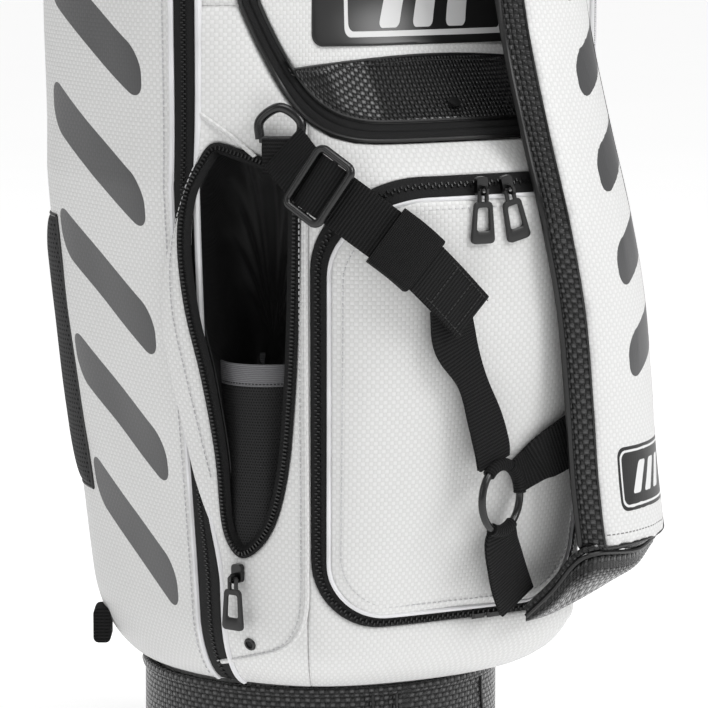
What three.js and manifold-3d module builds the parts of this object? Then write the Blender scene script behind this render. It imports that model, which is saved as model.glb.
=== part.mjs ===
// A golf staff bag: a stiff barrel on a moulded boot, pockets sewn round it, an open bottle pocket,
// and a single padded shoulder strap that swings out from two anchors.
// Millimetres, +Z up, origin at the middle of the sole on the ground, front of the bag towards -Y.
import * as THREE from "three";
import { mergeVertices } from "three/addons/utils/BufferGeometryUtils.js";
import Module from "manifold-3d";

const wasm = await Module();
wasm.setup();

// ---- driving dimensions ----
const BAG_HEIGHT = 915;
const BASE_R = 131; // moulded boot
const BOOT_TOP = 91;
const SOLE_THICK = 7;
const BARREL_R = 119; // stiff tube that the pockets are sewn to
const BARREL_WALL = 2.5;
const COLLAR_R = 129;
const COLLAR_LOW = 852;
const MOUTH_R = 111; // clear opening of the collar
const POCKET_LOW = 94; // hem of the sewn body
const POCKET_HIGH = 742;
const GAP = 0.35; // clearance between touching pieces
const INNER_R = BARREL_R + 2;

// Angles round the bag are measured from the front (-Y), positive towards +X, in degrees.
const APPAREL_EDGE = 60; // front edge of each apparel pocket
const APPAREL_REAR = { left: 150, right: 143 };
const ZIP_EDGE = 55; // inner edge of the apparel zip tape
const CENTRE_EDGE = 32; // side seam of the centre pocket
const DOOR = { half: 28, low: 156, high: 452, corner: 30 };
const DOOR_ZIP = { half: 31.2, low: 149, high: 466, corner: 38 };
const DOOR_THICK = 7;
const UPPER_LOW = 490; // lowest point of the U-shaped upper zip
const UPPER_HALF = 47;

const WELL = { angle: -43.5, centre: 156, r: 34, low: 186, high: 470 };
const LINING_WALL = 1.6;
const MOUTH = { low: 188, high: 487 };

const STRAP_WEB = 38;
const STRAP_PAD = { width: 115, foam: 10.5, lining: 3.2 };
const LOWER_ANCHOR = [-121, -158, 490];
const UPPER_ANCHOR = [93, -100, 842];

// ---- looks ----
const finish = (color, roughness, metalness = 0) => ({ color, roughness, metalness });
const WHITE = finish(0xe9e9e7, 0.5);
const CARBON = finish(0x17181a, 0.3);
const BLACK_CLOTH = finish(0x131314, 0.85);
const WEBBING = finish(0x101011, 0.8);
const PLASTIC = finish(0x0c0c0d, 0.35);
const RUBBER = finish(0x151515, 0.9);
const METAL = finish(0x303236, 0.3, 1);
const GREY_BAND = finish(0x8d8f92, 0.8);
const FOAM = finish(0x2a2a2c, 0.95);

// ---- geometry helpers ----
const rad = THREE.MathUtils.degToRad;
const clamp = THREE.MathUtils.clamp;
const vec = (p) => new THREE.Vector3(...p);

function solid(geometry) {
  const bare = geometry.index ? geometry.clone() : geometry;
  bare.deleteAttribute("normal");
  bare.deleteAttribute("uv");
  const merged = mergeVertices(bare, 1e-3);
  return new wasm.Manifold(
    new wasm.Mesh({
      numProp: 3,
      vertProperties: merged.attributes.position.array,
      triVerts: new Uint32Array(merged.index.array),
    }),
  );
}

function geometryOf(manifold) {
  const mesh = manifold.getMesh();
  return new THREE.BufferGeometry()
    .setAttribute("position", new THREE.BufferAttribute(mesh.vertProperties, 3))
    .setIndex(new THREE.BufferAttribute(mesh.triVerts, 1));
}

const join = (...parts) => parts.reduce((whole, part) => whole.add(part));
const cut = (body, ...tools) => tools.reduce((rest, tool) => rest.subtract(tool), body);

const bag = new THREE.Group();

function place(name, shape, look) {
  const geometry = shape.isBufferGeometry ? shape : geometryOf(shape);
  geometry.computeVertexNormals();
  const mesh = new THREE.Mesh(geometry, new THREE.MeshStandardMaterial(look));
  mesh.name = name;
  bag.add(mesh);
}

const box = (size, at) =>
  solid(new THREE.BoxGeometry(...size).translate(...at));

// A rod of radius r from a to b.
function rod(a, b, r, sides = 12) {
  const along = vec(b).sub(vec(a));
  const geometry = new THREE.CylinderGeometry(r, r, along.length(), sides);
  geometry.applyQuaternion(
    new THREE.Quaternion().setFromUnitVectors(new THREE.Vector3(0, 1, 0), along.clone().normalize()),
  );
  return solid(geometry.translate(...vec(a).add(along.multiplyScalar(0.5)).toArray()));
}

// A solid of revolution about Z through (x, y) from a closed [radius, height] outline.
function turned(outline, sides = 40, x = 0, y = 0) {
  const closed = outline[0][0] === 0 ? outline : [...outline, outline[0]];
  const points = closed.map(([r, h]) => new THREE.Vector2(r, h));
  return solid(new THREE.LatheGeometry(points, sides).rotateX(Math.PI / 2).translate(x, y, 0));
}

// A plate: a THREE.Shape in the plane of the given basis, extruded along its third axis.
function plate(shape, depth, basis, at) {
  const geometry = new THREE.ExtrudeGeometry(shape, { depth, bevelEnabled: false, curveSegments: 2 });
  geometry.translate(0, 0, -depth / 2).applyMatrix4(basis);
  return solid(geometry.translate(...at));
}

function roundedRectangle(width, height, r) {
  const shape = new THREE.Shape();
  const w = width / 2;
  const h = height / 2;
  shape.moveTo(w, h - r);
  shape.absarc(w - r, h - r, r, 0, Math.PI / 2);
  shape.absarc(r - w, h - r, r, Math.PI / 2, Math.PI);
  shape.absarc(r - w, r - h, r, Math.PI, 1.5 * Math.PI);
  shape.absarc(w - r, r - h, r, 1.5 * Math.PI, 2 * Math.PI);
  return shape;
}

// A closed body lofted through rings of points, all rings having the same count.
function loft(rings) {
  const n = rings[0].length;
  const positions = rings.flat().flatMap((p) => p.toArray());
  const index = [];
  for (let i = 0; i + 1 < rings.length; i++)
    for (let j = 0; j < n; j++) {
      const a = i * n + j;
      const b = i * n + ((j + 1) % n);
      index.push(a, b, b + n, a, b + n, a + n);
    }
  const last = (rings.length - 1) * n;
  for (let j = 1; j + 1 < n; j++) {
    index.push(0, j + 1, j);
    index.push(last, last + j, last + j + 1);
  }
  const geometry = new THREE.BufferGeometry()
    .setAttribute("position", new THREE.Float32BufferAttribute(positions, 3))
    .setIndex(index);
  const made = solid(geometry);
  if (made.volume() > 0) return made;
  for (let i = 0; i < index.length; i += 3) [index[i], index[i + 1]] = [index[i + 1], index[i]];
  return solid(geometry.setIndex(index));
}

// A flat strap through route points [x, y, z, azimuth of its outer face]; width may change along it.
function ribbon(route, width, thick, lift = 0) {
  const points = route.map((p) => vec(p.slice(0, 3)));
  return loft(
    points.map((p, i) => {
      const along = points[Math.min(i + 1, points.length - 1)]
        .clone()
        .sub(points[Math.max(i - 1, 0)])
        .normalize();
      const azimuth = rad(route[i][3]);
      const out = new THREE.Vector3(Math.sin(azimuth), -Math.cos(azimuth), 0);
      const side = new THREE.Vector3().crossVectors(along, out).normalize();
      const face = new THREE.Vector3().crossVectors(side, along).normalize();
      const half = (Array.isArray(width) ? width[i] : width) / 2;
      return [
        [1, 1],
        [-1, 1],
        [-1, -1],
        [1, -1],
      ].map(([s, t]) =>
        p
          .clone()
          .addScaledVector(side, s * half)
          .addScaledVector(face, lift + (t * thick) / 2),
      );
    }),
  );
}

// ---- outer skin of the sewn body ----
function superellipse(phi, a, b) {
  return (Math.abs(Math.sin(phi) / a) ** 4 + Math.abs(Math.cos(phi) / b) ** 4) ** -0.25;
}

// Radius of the outer skin at an angle in degrees and a height.
function skin(angle, z) {
  const phi = rad(angle);
  const rise = Math.sin((Math.PI / 2) * clamp((z - 60) / 540, 0, 1));
  const sideReach = 126 + 62 * rise ** 1.35;
  const frontReach =
    z > 458 ? Math.max(20, 233 - 1.05 * (z - 458)) : 233 - 45 * clamp((458 - z) / 308, 0, 1) ** 1.8;
  const frontWidth = z > 458 ? 130 * Math.max(0.15, frontReach / 233) : 130;
  const sides = superellipse(phi, sideReach, 140);
  const front = superellipse(phi, frontWidth, Math.cos(phi) < 0 ? 100 : frontReach);
  const full = (sides ** 6 + front ** 6) ** (1 / 6);
  if (z < 150) return BASE_R + (full - BASE_R) * Math.sqrt(1 - clamp((150 - z) / 56, 0, 1) ** 2);
  if (z > 700) return 122 + (full - 122) * Math.sqrt(1 - clamp((z - 700) / 46, 0, 1) ** 2);
  return full;
}

const around = (angle, radius, z) =>
  new THREE.Vector3(radius * Math.sin(rad(angle)), -radius * Math.cos(rad(angle)), z);

// Azimuth of the skin's outward normal, in degrees.
function facing(angle, z) {
  const a = around(angle - 1, skin(angle - 1, z), z);
  const b = around(angle + 1, skin(angle + 1, z), z);
  return THREE.MathUtils.radToDeg(Math.atan2(b.y - a.y, b.x - a.x));
}

// A block of the sewn body between two radii, over a patch of angle and height.
function patch({ from, to, low, high, inner, outer, columns = 10, rows = 8 }) {
  const value = (f, ...args) => (typeof f === "function" ? f(...args) : f);
  const wall = (radius) =>
    Array.from({ length: columns + 1 }, (_, i) => {
      const angle = THREE.MathUtils.lerp(from, to, 0.5 - 0.5 * Math.cos((Math.PI * i) / columns));
      const z0 = value(low, angle);
      const z1 = value(high, angle);
      return Array.from({ length: rows + 1 }, (_, j) => {
        const z = THREE.MathUtils.lerp(z0, z1, j / rows);
        return around(angle, value(radius, angle, z), z);
      });
    });
  const grids = [wall(inner), wall(outer)];
  const positions = grids.flat(2).flatMap((p) => p.toArray());
  const at = (side, i, j) => side * (columns + 1) * (rows + 1) + i * (rows + 1) + j;
  const index = [];
  const quad = (a, b, c, d) => index.push(a, b, c, a, c, d);
  for (let i = 0; i < columns; i++)
    for (let j = 0; j < rows; j++) {
      quad(at(1, i, j), at(1, i + 1, j), at(1, i + 1, j + 1), at(1, i, j + 1));
      quad(at(0, i, j), at(0, i, j + 1), at(0, i + 1, j + 1), at(0, i + 1, j));
    }
  for (let i = 0; i < columns; i++) {
    quad(at(0, i, 0), at(0, i + 1, 0), at(1, i + 1, 0), at(1, i, 0));
    quad(at(0, i, rows), at(1, i, rows), at(1, i + 1, rows), at(0, i + 1, rows));
  }
  for (let j = 0; j < rows; j++) {
    quad(at(0, 0, j), at(1, 0, j), at(1, 0, j + 1), at(0, 0, j + 1));
    quad(at(0, columns, j), at(0, columns, j + 1), at(1, columns, j + 1), at(1, columns, j));
  }
  return solid(
    new THREE.BufferGeometry()
      .setAttribute("position", new THREE.Float32BufferAttribute(positions, 3))
      .setIndex(index),
  );
}

const onSkin = (offset) => (angle, z) => skin(angle, z) + offset;

// Height limits of a door-like outline with rounded corners.
function rounded({ half, low, high, corner }) {
  const turn = corner / 4; // corner width in degrees, at about 4 mm a degree
  const drop = (angle) => {
    const t = clamp((Math.abs(angle) - (half - turn)) / turn, 0, 1);
    return corner * (1 - Math.sqrt(1 - t * t * 0.98));
  };
  return { from: -half, to: half, low: (a) => low + drop(a), high: (a) => high - drop(a) };
}

// ---- barrel, boot, collar and dividers ----
const sole = [
  [0, 0],
  [122, 0],
  [125, 3],
  [125, SOLE_THICK],
  [0, SOLE_THICK],
];
place("sole_plate", turned(sole), RUBBER);

const bootFloor = SOLE_THICK + GAP;
const boot = [
  [0, bootFloor],
  [126, bootFloor],
  [BASE_R, bootFloor + 8],
  [BASE_R, BOOT_TOP - 9],
  [BASE_R + 1.5, BOOT_TOP - 5],
  [BASE_R, BOOT_TOP],
  [BASE_R - 4, BOOT_TOP],
  [BASE_R - 4, bootFloor + 8],
  [BASE_R - 8, bootFloor + 4],
  [0, bootFloor + 4],
];
place("base_boot", turned(boot), CARBON);

const padLow = bootFloor + 4 + GAP;
const PAD_THICK = 10;
const floorPad = [
  [0, padLow],
  [BARREL_R - 6.5, padLow],
  [BARREL_R - 6.5, padLow + PAD_THICK],
  [0, padLow + PAD_THICK],
];
place("floor_pad", turned(floorPad), FOAM);

const ring = (r, wall, low, high) => [
  [r - wall, low],
  [r, low],
  [r, high],
  [r - wall, high],
];
const BARREL_TOP = COLLAR_LOW + 22;
place("barrel_shell", turned(ring(BARREL_R, BARREL_WALL, padLow, BARREL_TOP)), WHITE);

const collar = [
  [BARREL_R + GAP, COLLAR_LOW],
  [COLLAR_R - 2, COLLAR_LOW],
  [COLLAR_R, COLLAR_LOW + 6],
  [COLLAR_R, BAG_HEIGHT - 12],
  [COLLAR_R - 4, BAG_HEIGHT - 3],
  [COLLAR_R - 9, BAG_HEIGHT],
  [MOUTH_R + 3, BAG_HEIGHT - 2],
  [MOUTH_R, BAG_HEIGHT - 8],
  [MOUTH_R, BARREL_TOP + GAP],
  [BARREL_R + GAP, BARREL_TOP + GAP],
];
place("top_collar", turned(collar), CARBON);

const CROSS_BAR_Y = 36;
const dividerCross = (thick, low, high, reach) => {
  const height = high - low;
  const middle = (low + high) / 2;
  const bars = [-1, 1].map((s) => box([2 * reach, thick, height], [0, s * CROSS_BAR_Y, middle]));
  const round = turned([
    [0, low - 1],
    [reach, low - 1],
    [reach, high + 1],
    [0, high + 1],
  ]);
  return join(box([thick, 2 * reach, height], [0, 0, middle]), ...bars).intersect(round);
};
const GRID_R = MOUTH_R - GAP;
const GRID_LOW = 872;
const GRID_HIGH = 904;
place(
  "divider_grid",
  join(
    dividerCross(9, GRID_LOW, GRID_HIGH, GRID_R - 3),
    turned(ring(GRID_R, 5, GRID_LOW + 4, GRID_HIGH - 4)),
  ),
  RUBBER,
);
place("full_length_dividers", dividerCross(1.6, padLow + PAD_THICK + 2, GRID_LOW - 1, 110), BLACK_CLOTH);

// ---- apparel pockets and their zips ----
const sides = [
  ["left", -1],
  ["right", 1],
];
const between = (a, b, sign) => (sign < 0 ? { from: -b, to: -a } : { from: a, to: b });
const zipPatch = (sign, grow) =>
  patch({
    ...between(ZIP_EDGE - grow, APPAREL_EDGE + grow, sign),
    low: POCKET_LOW + 4 - grow,
    high: POCKET_HIGH - 12 + grow,
    inner: onSkin(-2.6 - 6 * grow),
    outer: onSkin(0.6 + 20 * grow),
    columns: 2,
    rows: 8,
  });

// Lower rim of the upper pocket: level in the middle, sweeping up to its side seams.
const UPPER_RISE = 94;
const upperSweep = (angle, start, half) =>
  clamp((Math.abs(angle) - start) / (half - start), 0, 1) ** 2.8;
const sideTop = (angle) => UPPER_LOW - 3 + UPPER_RISE * upperSweep(angle, 17, UPPER_HALF);

for (const [side, sign] of sides) {
  const rear = APPAREL_REAR[side];
  const taper = (angle, z) => {
    const t = clamp((Math.abs(angle) - rear + 18) / 18, 0, 1);
    return THREE.MathUtils.lerp(skin(angle, z), BASE_R + 6, t * t);
  };
  const pocket = patch({
    ...between(APPAREL_EDGE - 2, rear, sign),
    low: POCKET_LOW,
    high: POCKET_HIGH,
    inner: INNER_R,
    outer: taper,
    columns: 7,
    rows: 9,
  });
  const panelClear = patch({
    ...between(40, APPAREL_EDGE + 0.15, sign),
    low: 80,
    high: 760,
    inner: 100,
    outer: 260,
    columns: 4,
    rows: 1,
  });
  place(`${side}_apparel_pocket`, cut(pocket, panelClear, zipPatch(sign, 0.3)), WHITE);
  place(`${side}_apparel_zip`, zipPatch(sign, 0), BLACK_CLOTH);
}

// ---- side panels; the left one carries the bottle pocket ----
const wellX = around(WELL.angle, WELL.centre, 0).x;
const wellY = around(WELL.angle, WELL.centre, 0).y;
const cylinder = (r, low, high, sides = 32) =>
  turned(
    [
      [0, low],
      [r, low],
      [r, high],
      [0, high],
    ],
    sides,
    wellX,
    wellY,
  );

// The almond-shaped mouth of the bottle pocket, as height limits over its span of angles.
const mouthLimits = (inset) => {
  const from = -54.2 + inset;
  const to = -33 - inset;
  const middle = (from + to) / 2;
  const half = (to - from) / 2;
  const bow = (angle) => Math.sqrt(Math.max(0.002, 1 - ((angle - middle) / half) ** 2));
  const centre = (MOUTH.low + MOUTH.high) / 2;
  const reach = (MOUTH.high - MOUTH.low) / 2 - 2.2 * inset;
  return { from, to, low: (a) => centre - reach * bow(a), high: (a) => centre + reach * bow(a) };
};
const mouthCut = patch({
  ...mouthLimits(0),
  inner: WELL.centre - 6,
  outer: 260,
  columns: 12,
  rows: 1,
});
const WELL_CUT = WELL.r + LINING_WALL + GAP;
const wellCut = cylinder(WELL_CUT, WELL.low, WELL.high);

const sidePanel = (sign) =>
  join(
    patch({
      ...between(CENTRE_EDGE + 0.1, UPPER_HALF + 0.6, sign),
      low: POCKET_LOW,
      high: sideTop,
      inner: INNER_R,
      outer: onSkin(0),
      columns: 6,
      rows: 9,
    }),
    patch({
      ...between(UPPER_HALF, APPAREL_EDGE - 0.15, sign),
      low: POCKET_LOW,
      high: POCKET_HIGH,
      inner: INNER_R,
      outer: onSkin(0),
      columns: 2,
      rows: 12,
    }),
  ).subtract(zipPatch(sign, 0.3));

const EYELET = { angle: -44.8, z: 133 };
place("bottle_pocket_panel", cut(sidePanel(-1), wellCut, mouthCut), WHITE);
place("right_side_panel", sidePanel(1), WHITE);

const lining = cylinder(WELL.r + LINING_WALL, WELL.low + GAP, WELL.high - GAP);
const liningHollow = cylinder(WELL.r, WELL.low + GAP + LINING_WALL, WELL.high + 5);
place("bottle_pocket_lining", cut(lining, liningHollow, mouthCut), BLACK_CLOTH);

const SLEEVE_TOP = 316;
const sleeveR = WELL.r - GAP;
const sleeveFloor = WELL.low + GAP + LINING_WALL + GAP;
const tubeAt = (r, wall, low, high) => turned(ring(r, wall, low, high), 28, wellX, wellY);
place("bottle_mesh_sleeve", tubeAt(sleeveR, 1.3, sleeveFloor, SLEEVE_TOP), BLACK_CLOTH);
place("sleeve_elastic_band", tubeAt(sleeveR, 2, SLEEVE_TOP + GAP, SLEEVE_TOP + 16), GREY_BAND);

place(
  "bottle_zip",
  patch({ ...mouthLimits(0.6), inner: onSkin(-2.5), outer: onSkin(0.6), columns: 12, rows: 5 }).subtract(
    patch({ ...mouthLimits(1.9), inner: onSkin(-9), outer: onSkin(9), columns: 12, rows: 2 }),
  ),
  PLASTIC,
);

// ---- centre pocket with its door ----
const grown = (outline) => ({
  ...outline,
  half: outline.half + 0.5,
  low: outline.low - 1.5,
  high: outline.high + 1.5,
});
const centreBody = patch({
  from: -CENTRE_EDGE + 0.1,
  to: CENTRE_EDGE - 0.1,
  low: POCKET_LOW,
  high: UPPER_LOW - 3,
  inner: INNER_R,
  outer: onSkin(0),
  columns: 10,
  rows: 10,
});
const zipGroove = patch({
  ...rounded(grown(DOOR_ZIP)),
  inner: onSkin(-4.6),
  outer: onSkin(12),
  columns: 10,
  rows: 6,
});
const doorSeat = patch({
  ...rounded(grown(DOOR)),
  inner: onSkin(-DOOR_THICK - 1.5),
  outer: onSkin(12),
  columns: 10,
  rows: 6,
});
const HOLD = { half: 24, low: 168, high: 440 };
const hold = patch({
  from: -HOLD.half,
  to: HOLD.half,
  low: HOLD.low,
  high: HOLD.high,
  inner: INNER_R + 4,
  outer: 260,
  columns: 4,
  rows: 1,
});
const wellNeighbour = cylinder(WELL_CUT + GAP, WELL.low - GAP, WELL.high + GAP);
place("centre_pocket", cut(centreBody, zipGroove, doorSeat, hold, wellNeighbour), WHITE);

const doorBlock = { ...rounded(DOOR), inner: onSkin(-DOOR_THICK), outer: onSkin(0), columns: 10, rows: 7 };
place("centre_pocket_door", patch(doorBlock), WHITE);
const doorZip = { ...rounded(DOOR_ZIP), inner: onSkin(-2.6), outer: onSkin(0.6), columns: 10, rows: 6 };
const zipInside = { ...rounded(grown(DOOR)), inner: onSkin(-12), outer: onSkin(12), columns: 10, rows: 3 };
place("centre_pocket_zip", patch(doorZip).subtract(patch(zipInside)), BLACK_CLOTH);

// ---- upper pocket: U-shaped zip, woven band, stud and plain patch ----
const upperRim = (half, low, start, high) => ({
  from: -half,
  to: half,
  low: (a) => low + (UPPER_LOW + UPPER_RISE - low) * upperSweep(a, start, half),
  high,
});
const ZIP_TOP = 690;
const zipOuter = upperRim(46, UPPER_LOW + 1, 17, ZIP_TOP);
const zipHole = patch({
  ...upperRim(43, 500, 15, ZIP_TOP + 10),
  inner: 60,
  outer: 280,
  columns: 12,
  rows: 2,
});
const zipGrooveUpper = patch({
  ...upperRim(48, UPPER_LOW - 2, 17, ZIP_TOP + 1),
  inner: onSkin(-6),
  outer: onSkin(12),
  columns: 12,
  rows: 5,
}).subtract(
  patch({ ...upperRim(42.6, 501.5, 15, ZIP_TOP + 10), inner: 60, outer: 290, columns: 12, rows: 2 }),
);
const upperBody = patch({
  ...upperRim(UPPER_HALF - 0.6, UPPER_LOW + 1, 17, POCKET_HIGH),
  inner: INNER_R,
  outer: onSkin(0),
  columns: 14,
  rows: 10,
});
place("upper_pocket", upperBody.subtract(zipGrooveUpper), WHITE);
const upperZip = { ...zipOuter, inner: onSkin(-2.4), outer: onSkin(0.6), columns: 12, rows: 5 };
place("upper_pocket_zip", patch(upperZip).subtract(zipHole), BLACK_CLOTH);

const BAND = { ...upperRim(29.5, 504, 12, 541), low: (a) => 504 + 81 * upperSweep(a, 13, 43) };
place(
  "woven_band",
  patch({ ...BAND, inner: onSkin(3.6), outer: onSkin(5.4), columns: 10, rows: 3 }),
  CARBON,
);
place(
  "front_patch",
  patch({
    ...rounded({ half: 29, low: 553, high: 592, corner: 8 }),
    inner: onSkin(2.8),
    outer: onSkin(4.6),
    columns: 8,
    rows: 2,
  }),
  PLASTIC,
);
const outward = (angle) => new THREE.Vector3(Math.sin(rad(angle)), -Math.cos(rad(angle)), 0);
const along = (p, direction, distance) => p.clone().addScaledVector(direction, distance).toArray();
const studAt = around(0, skin(0, 509), 509);
const studOut = new THREE.Vector3(0, -0.69, 0.72);
place("snap_stud", rod(along(studAt, studOut, 5.4), along(studAt, studOut, 7), 4.5), METAL);

const eyeletAt = around(EYELET.angle, skin(EYELET.angle, EYELET.z), EYELET.z);
const eyeletOut = outward(facing(EYELET.angle, EYELET.z));
place(
  "drain_eyelet",
  rod(along(eyeletAt, eyeletOut, 1.6), along(eyeletAt, eyeletOut, 3.2), 4.8, 16).subtract(
    rod(along(eyeletAt, eyeletOut, 0), along(eyeletAt, eyeletOut, 6), 2.6, 12),
  ),
  PLASTIC,
);

// ---- zip sliders and pulls ----
// In a slider's own frame X is across it, Y points out of the bag and Z is up.
const PULL_PIVOT = { y: 8.4, z: -3 };
const PULL = { width: 17, thick: 2.2, top: -11, length: 27 };

const polygon = (r, n, x = 0, y = 0) =>
  Array.from({ length: n }, (_, i) => {
    const turn = (2 * Math.PI * i) / n;
    return new THREE.Vector2(x + r * Math.cos(turn), y + r * Math.sin(turn));
  });

const sliderBody = () => {
  const shape = roundedRectangle(8.6, 13, 2.5);
  const flat = new THREE.Matrix4().makeRotationX(-Math.PI / 2);
  const body = plate(shape, 4, flat, [0, 3, 0]);
  const { y, z } = PULL_PIVOT;
  const lug = new THREE.Shape(
    [
      [4, z - 3.4],
      [y + 1, z - 3.4],
      [y + 3.4, z - 1.6],
      [y + 3.4, z + 1.6],
      [y + 1, z + 3.4],
      [4, z + 3.4],
    ].map((p) => new THREE.Vector2(...p)),
  );
  lug.holes.push(new THREE.Path(polygon(2, 8, y, z)));
  const upright = new THREE.Matrix4().makeBasis(
    new THREE.Vector3(0, 1, 0),
    new THREE.Vector3(0, 0, 1),
    new THREE.Vector3(1, 0, 0),
  );
  return join(body, plate(lug, 2, upright, [0, 0, 0]));
};

const pullBody = () => {
  const shape = roundedRectangle(PULL.width, PULL.length, 3.5);
  const slot = [
    [-4, 9],
    [4, 9],
    [4, 12],
    [-4, 12],
  ];
  shape.holes.push(new THREE.Path(slot.map(([x, y]) => new THREE.Vector2(x, y - 4))));
  const flat = new THREE.Matrix4().makeRotationX(-Math.PI / 2);
  const tag = plate(shape, PULL.thick, flat, [0, PULL_PIVOT.y, PULL.top - PULL.length / 2]);
  const prongs = [-1, 1].map((s) =>
    box([2, PULL.thick, 12], [s * 2.9, PULL_PIVOT.y, PULL_PIVOT.z - 5.2]),
  );
  const pin = rod([-3.8, PULL_PIVOT.y, PULL_PIVOT.z], [3.8, PULL_PIVOT.y, PULL_PIVOT.z], 1.3, 8);
  return join(tag, pin, ...prongs);
};

const zipFrame = (angle, z, lean = 0) => {
  const azimuth = facing(angle, z);
  const out = outward(azimuth);
  const up = new THREE.Vector3(0, 0, 1);
  const across = new THREE.Vector3().crossVectors(out, up);
  return new THREE.Matrix4()
    .makeBasis(across, out, up)
    .multiply(new THREE.Matrix4().makeRotationY(rad(lean)))
    .setPosition(around(angle, skin(angle, z) + 0.5, z));
};

const inFrame = (manifold, frame) => solid(geometryOf(manifold).applyMatrix4(frame));

[
  ["left_apparel", -57.5, 705, 0],
  ["right_apparel", 57.5, 705, 0],
  ["upper_pocket", -44.6, 660, 0],
  ["bottle_pocket", -46.6, 184.5, 0],
  ["centre_left", -1.8, 459, 0],
  ["centre_right", 3.2, 459, 14],
].forEach(([name, angle, z, lean]) => {
  const frame = zipFrame(angle, z, lean);
  place(`${name}_slider`, inFrame(sliderBody(), frame), METAL);
  place(`${name}_pull`, inFrame(pullBody(), frame), PLASTIC);
});

// ---- rear of the bag ----
const SPINE_R = BASE_R;
const SPINE_HALF = 26;
place(
  "spine_panel",
  patch({
    from: 180 - SPINE_HALF,
    to: 180 + SPINE_HALF,
    low: POCKET_LOW,
    high: 765,
    inner: INNER_R,
    outer: SPINE_R,
    columns: 8,
    rows: 1,
  }),
  BLACK_CLOTH,
);
const HIP = { from: -146, to: -112, low: 218, high: 420, swell: 5 };
const hipSwell = (angle, z) => {
  const across = Math.sin((Math.PI * (angle - HIP.from)) / (HIP.to - HIP.from));
  const up = Math.sin((Math.PI * (z - HIP.low)) / (HIP.high - HIP.low));
  const rearTaper = clamp((-angle - APPAREL_REAR.left + 18) / 18, 0, 1) ** 2;
  const base = THREE.MathUtils.lerp(skin(angle, z), BASE_R + 6, rearTaper);
  return base + 4 + HIP.swell * Math.sqrt(Math.max(0, across * up));
};
place(
  "hip_pad",
  patch({
    ...HIP,
    inner: (angle, z) => {
      const rearTaper = clamp((-angle - APPAREL_REAR.left + 18) / 18, 0, 1) ** 2;
      return THREE.MathUtils.lerp(skin(angle, z), BASE_R + 6, rearTaper) + 2.5;
    },
    outer: hipSwell,
    columns: 8,
    rows: 8,
  }),
  BLACK_CLOTH,
);

// A grip bowed out of the spine, sewn at both ends.
const GRIP = { low: 500, high: 690, bow: 36, r: 8.5 };
const gripLine = Array.from({ length: 9 }, (_, i) => {
  const t = i / 8;
  const bow = Math.sin(Math.PI * t) ** 0.7;
  return new THREE.Vector3(0, SPINE_R + 12 + GRIP.bow * bow, THREE.MathUtils.lerp(GRIP.low, GRIP.high, t));
});
const sweep = (points, r, steps, sides = 10) =>
  solid(
    new THREE.ExtrudeGeometry(new THREE.Shape(polygon(r, sides)), {
      steps,
      bevelEnabled: false,
      extrudePath: new THREE.CatmullRomCurve3(points),
    }),
  );
place("spine_grip", sweep(gripLine, GRIP.r, 14), CARBON);
[
  ["spine_grip_upper_patch", GRIP.high + 24],
  ["spine_grip_lower_patch", GRIP.low - 24],
].forEach(([name, z]) => {
  place(name, box([34, 18, 30], [0, SPINE_R + 9.4, z]), WEBBING);
});

// Towel ring on the left of the barrel.
const TOWEL = { angle: -72, z: 818, r: 17, wire: 2 };
const towelBasis = new THREE.Matrix4().makeBasis(
  outward(TOWEL.angle + 90),
  new THREE.Vector3(0, 0, 1),
  outward(TOWEL.angle),
);
const towelFrame = (r, z) => towelBasis.clone().setPosition(around(TOWEL.angle, r, z));
const TOWEL_OUT = BARREL_R + 7;
place(
  "towel_ring",
  solid(
    new THREE.TorusGeometry(TOWEL.r, TOWEL.wire, 6, 20).applyMatrix4(
      towelFrame(TOWEL_OUT, TOWEL.z - TOWEL.r),
    ),
  ),
  METAL,
);
const tabLoop = join(
  box([20, 2.2, 30], [0, -5.2, 14]),
  rod([-4, 0, 0], [4, 0, 0], 5, 14),
);
const towelTab = cut(tabLoop, rod([-12, 0, 0], [12, 0, 0], 2.9, 12));
const tabFrame = new THREE.Matrix4()
  .makeBasis(outward(TOWEL.angle - 90), outward(TOWEL.angle), new THREE.Vector3(0, 0, 1))
  .setPosition(around(TOWEL.angle, TOWEL_OUT, TOWEL.z));
place("towel_ring_tab", inFrame(towelTab, tabFrame), WEBBING);

// Umbrella sleeve low on the spine's right.
const UMBRELLA = { angle: 160, radius: 156, r: 20 };
const umbrellaAt = around(UMBRELLA.angle, UMBRELLA.radius, 0);
const umbrellaTube = (low, high, wall) =>
  turned(ring(UMBRELLA.r, wall, low, high), 24, umbrellaAt.x, umbrellaAt.y);
const umbrellaFloor = turned(
  [
    [0, 104],
    [UMBRELLA.r, 104],
    [UMBRELLA.r, 107],
    [0, 107],
  ],
  24,
  umbrellaAt.x,
  umbrellaAt.y,
);
place("umbrella_sleeve", join(umbrellaTube(104, 330, 2), umbrellaFloor), BLACK_CLOTH);

const TAB = { angle: -120, z: 112 };
const tabRadius = skin(TAB.angle, TAB.z) + 4;
const pullTab = roundedRectangle(13, 26, 4);
const pullTabFrame = new THREE.Matrix4().makeBasis(
  outward(TAB.angle),
  new THREE.Vector3(0, 0, 1),
  outward(TAB.angle - 90),
);
place(
  "rear_webbing_tab",
  plate(pullTab, 26, pullTabFrame, around(TAB.angle, tabRadius + 5, TAB.z).toArray()),
  WEBBING,
);

// ---- shoulder strap ----
// Front edge of the padded part, on its outer face: [x, y, z].
const PAD_EDGE = [
  [87, -253, 200],
  [80, -253, 250],
  [74, -254, 310],
  [66, -256, 370],
  [52, -258, 430],
  [44, -240, 500],
  [39, -221, 570],
  [35, -212, 640],
  [33, -211, 700],
];
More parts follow.
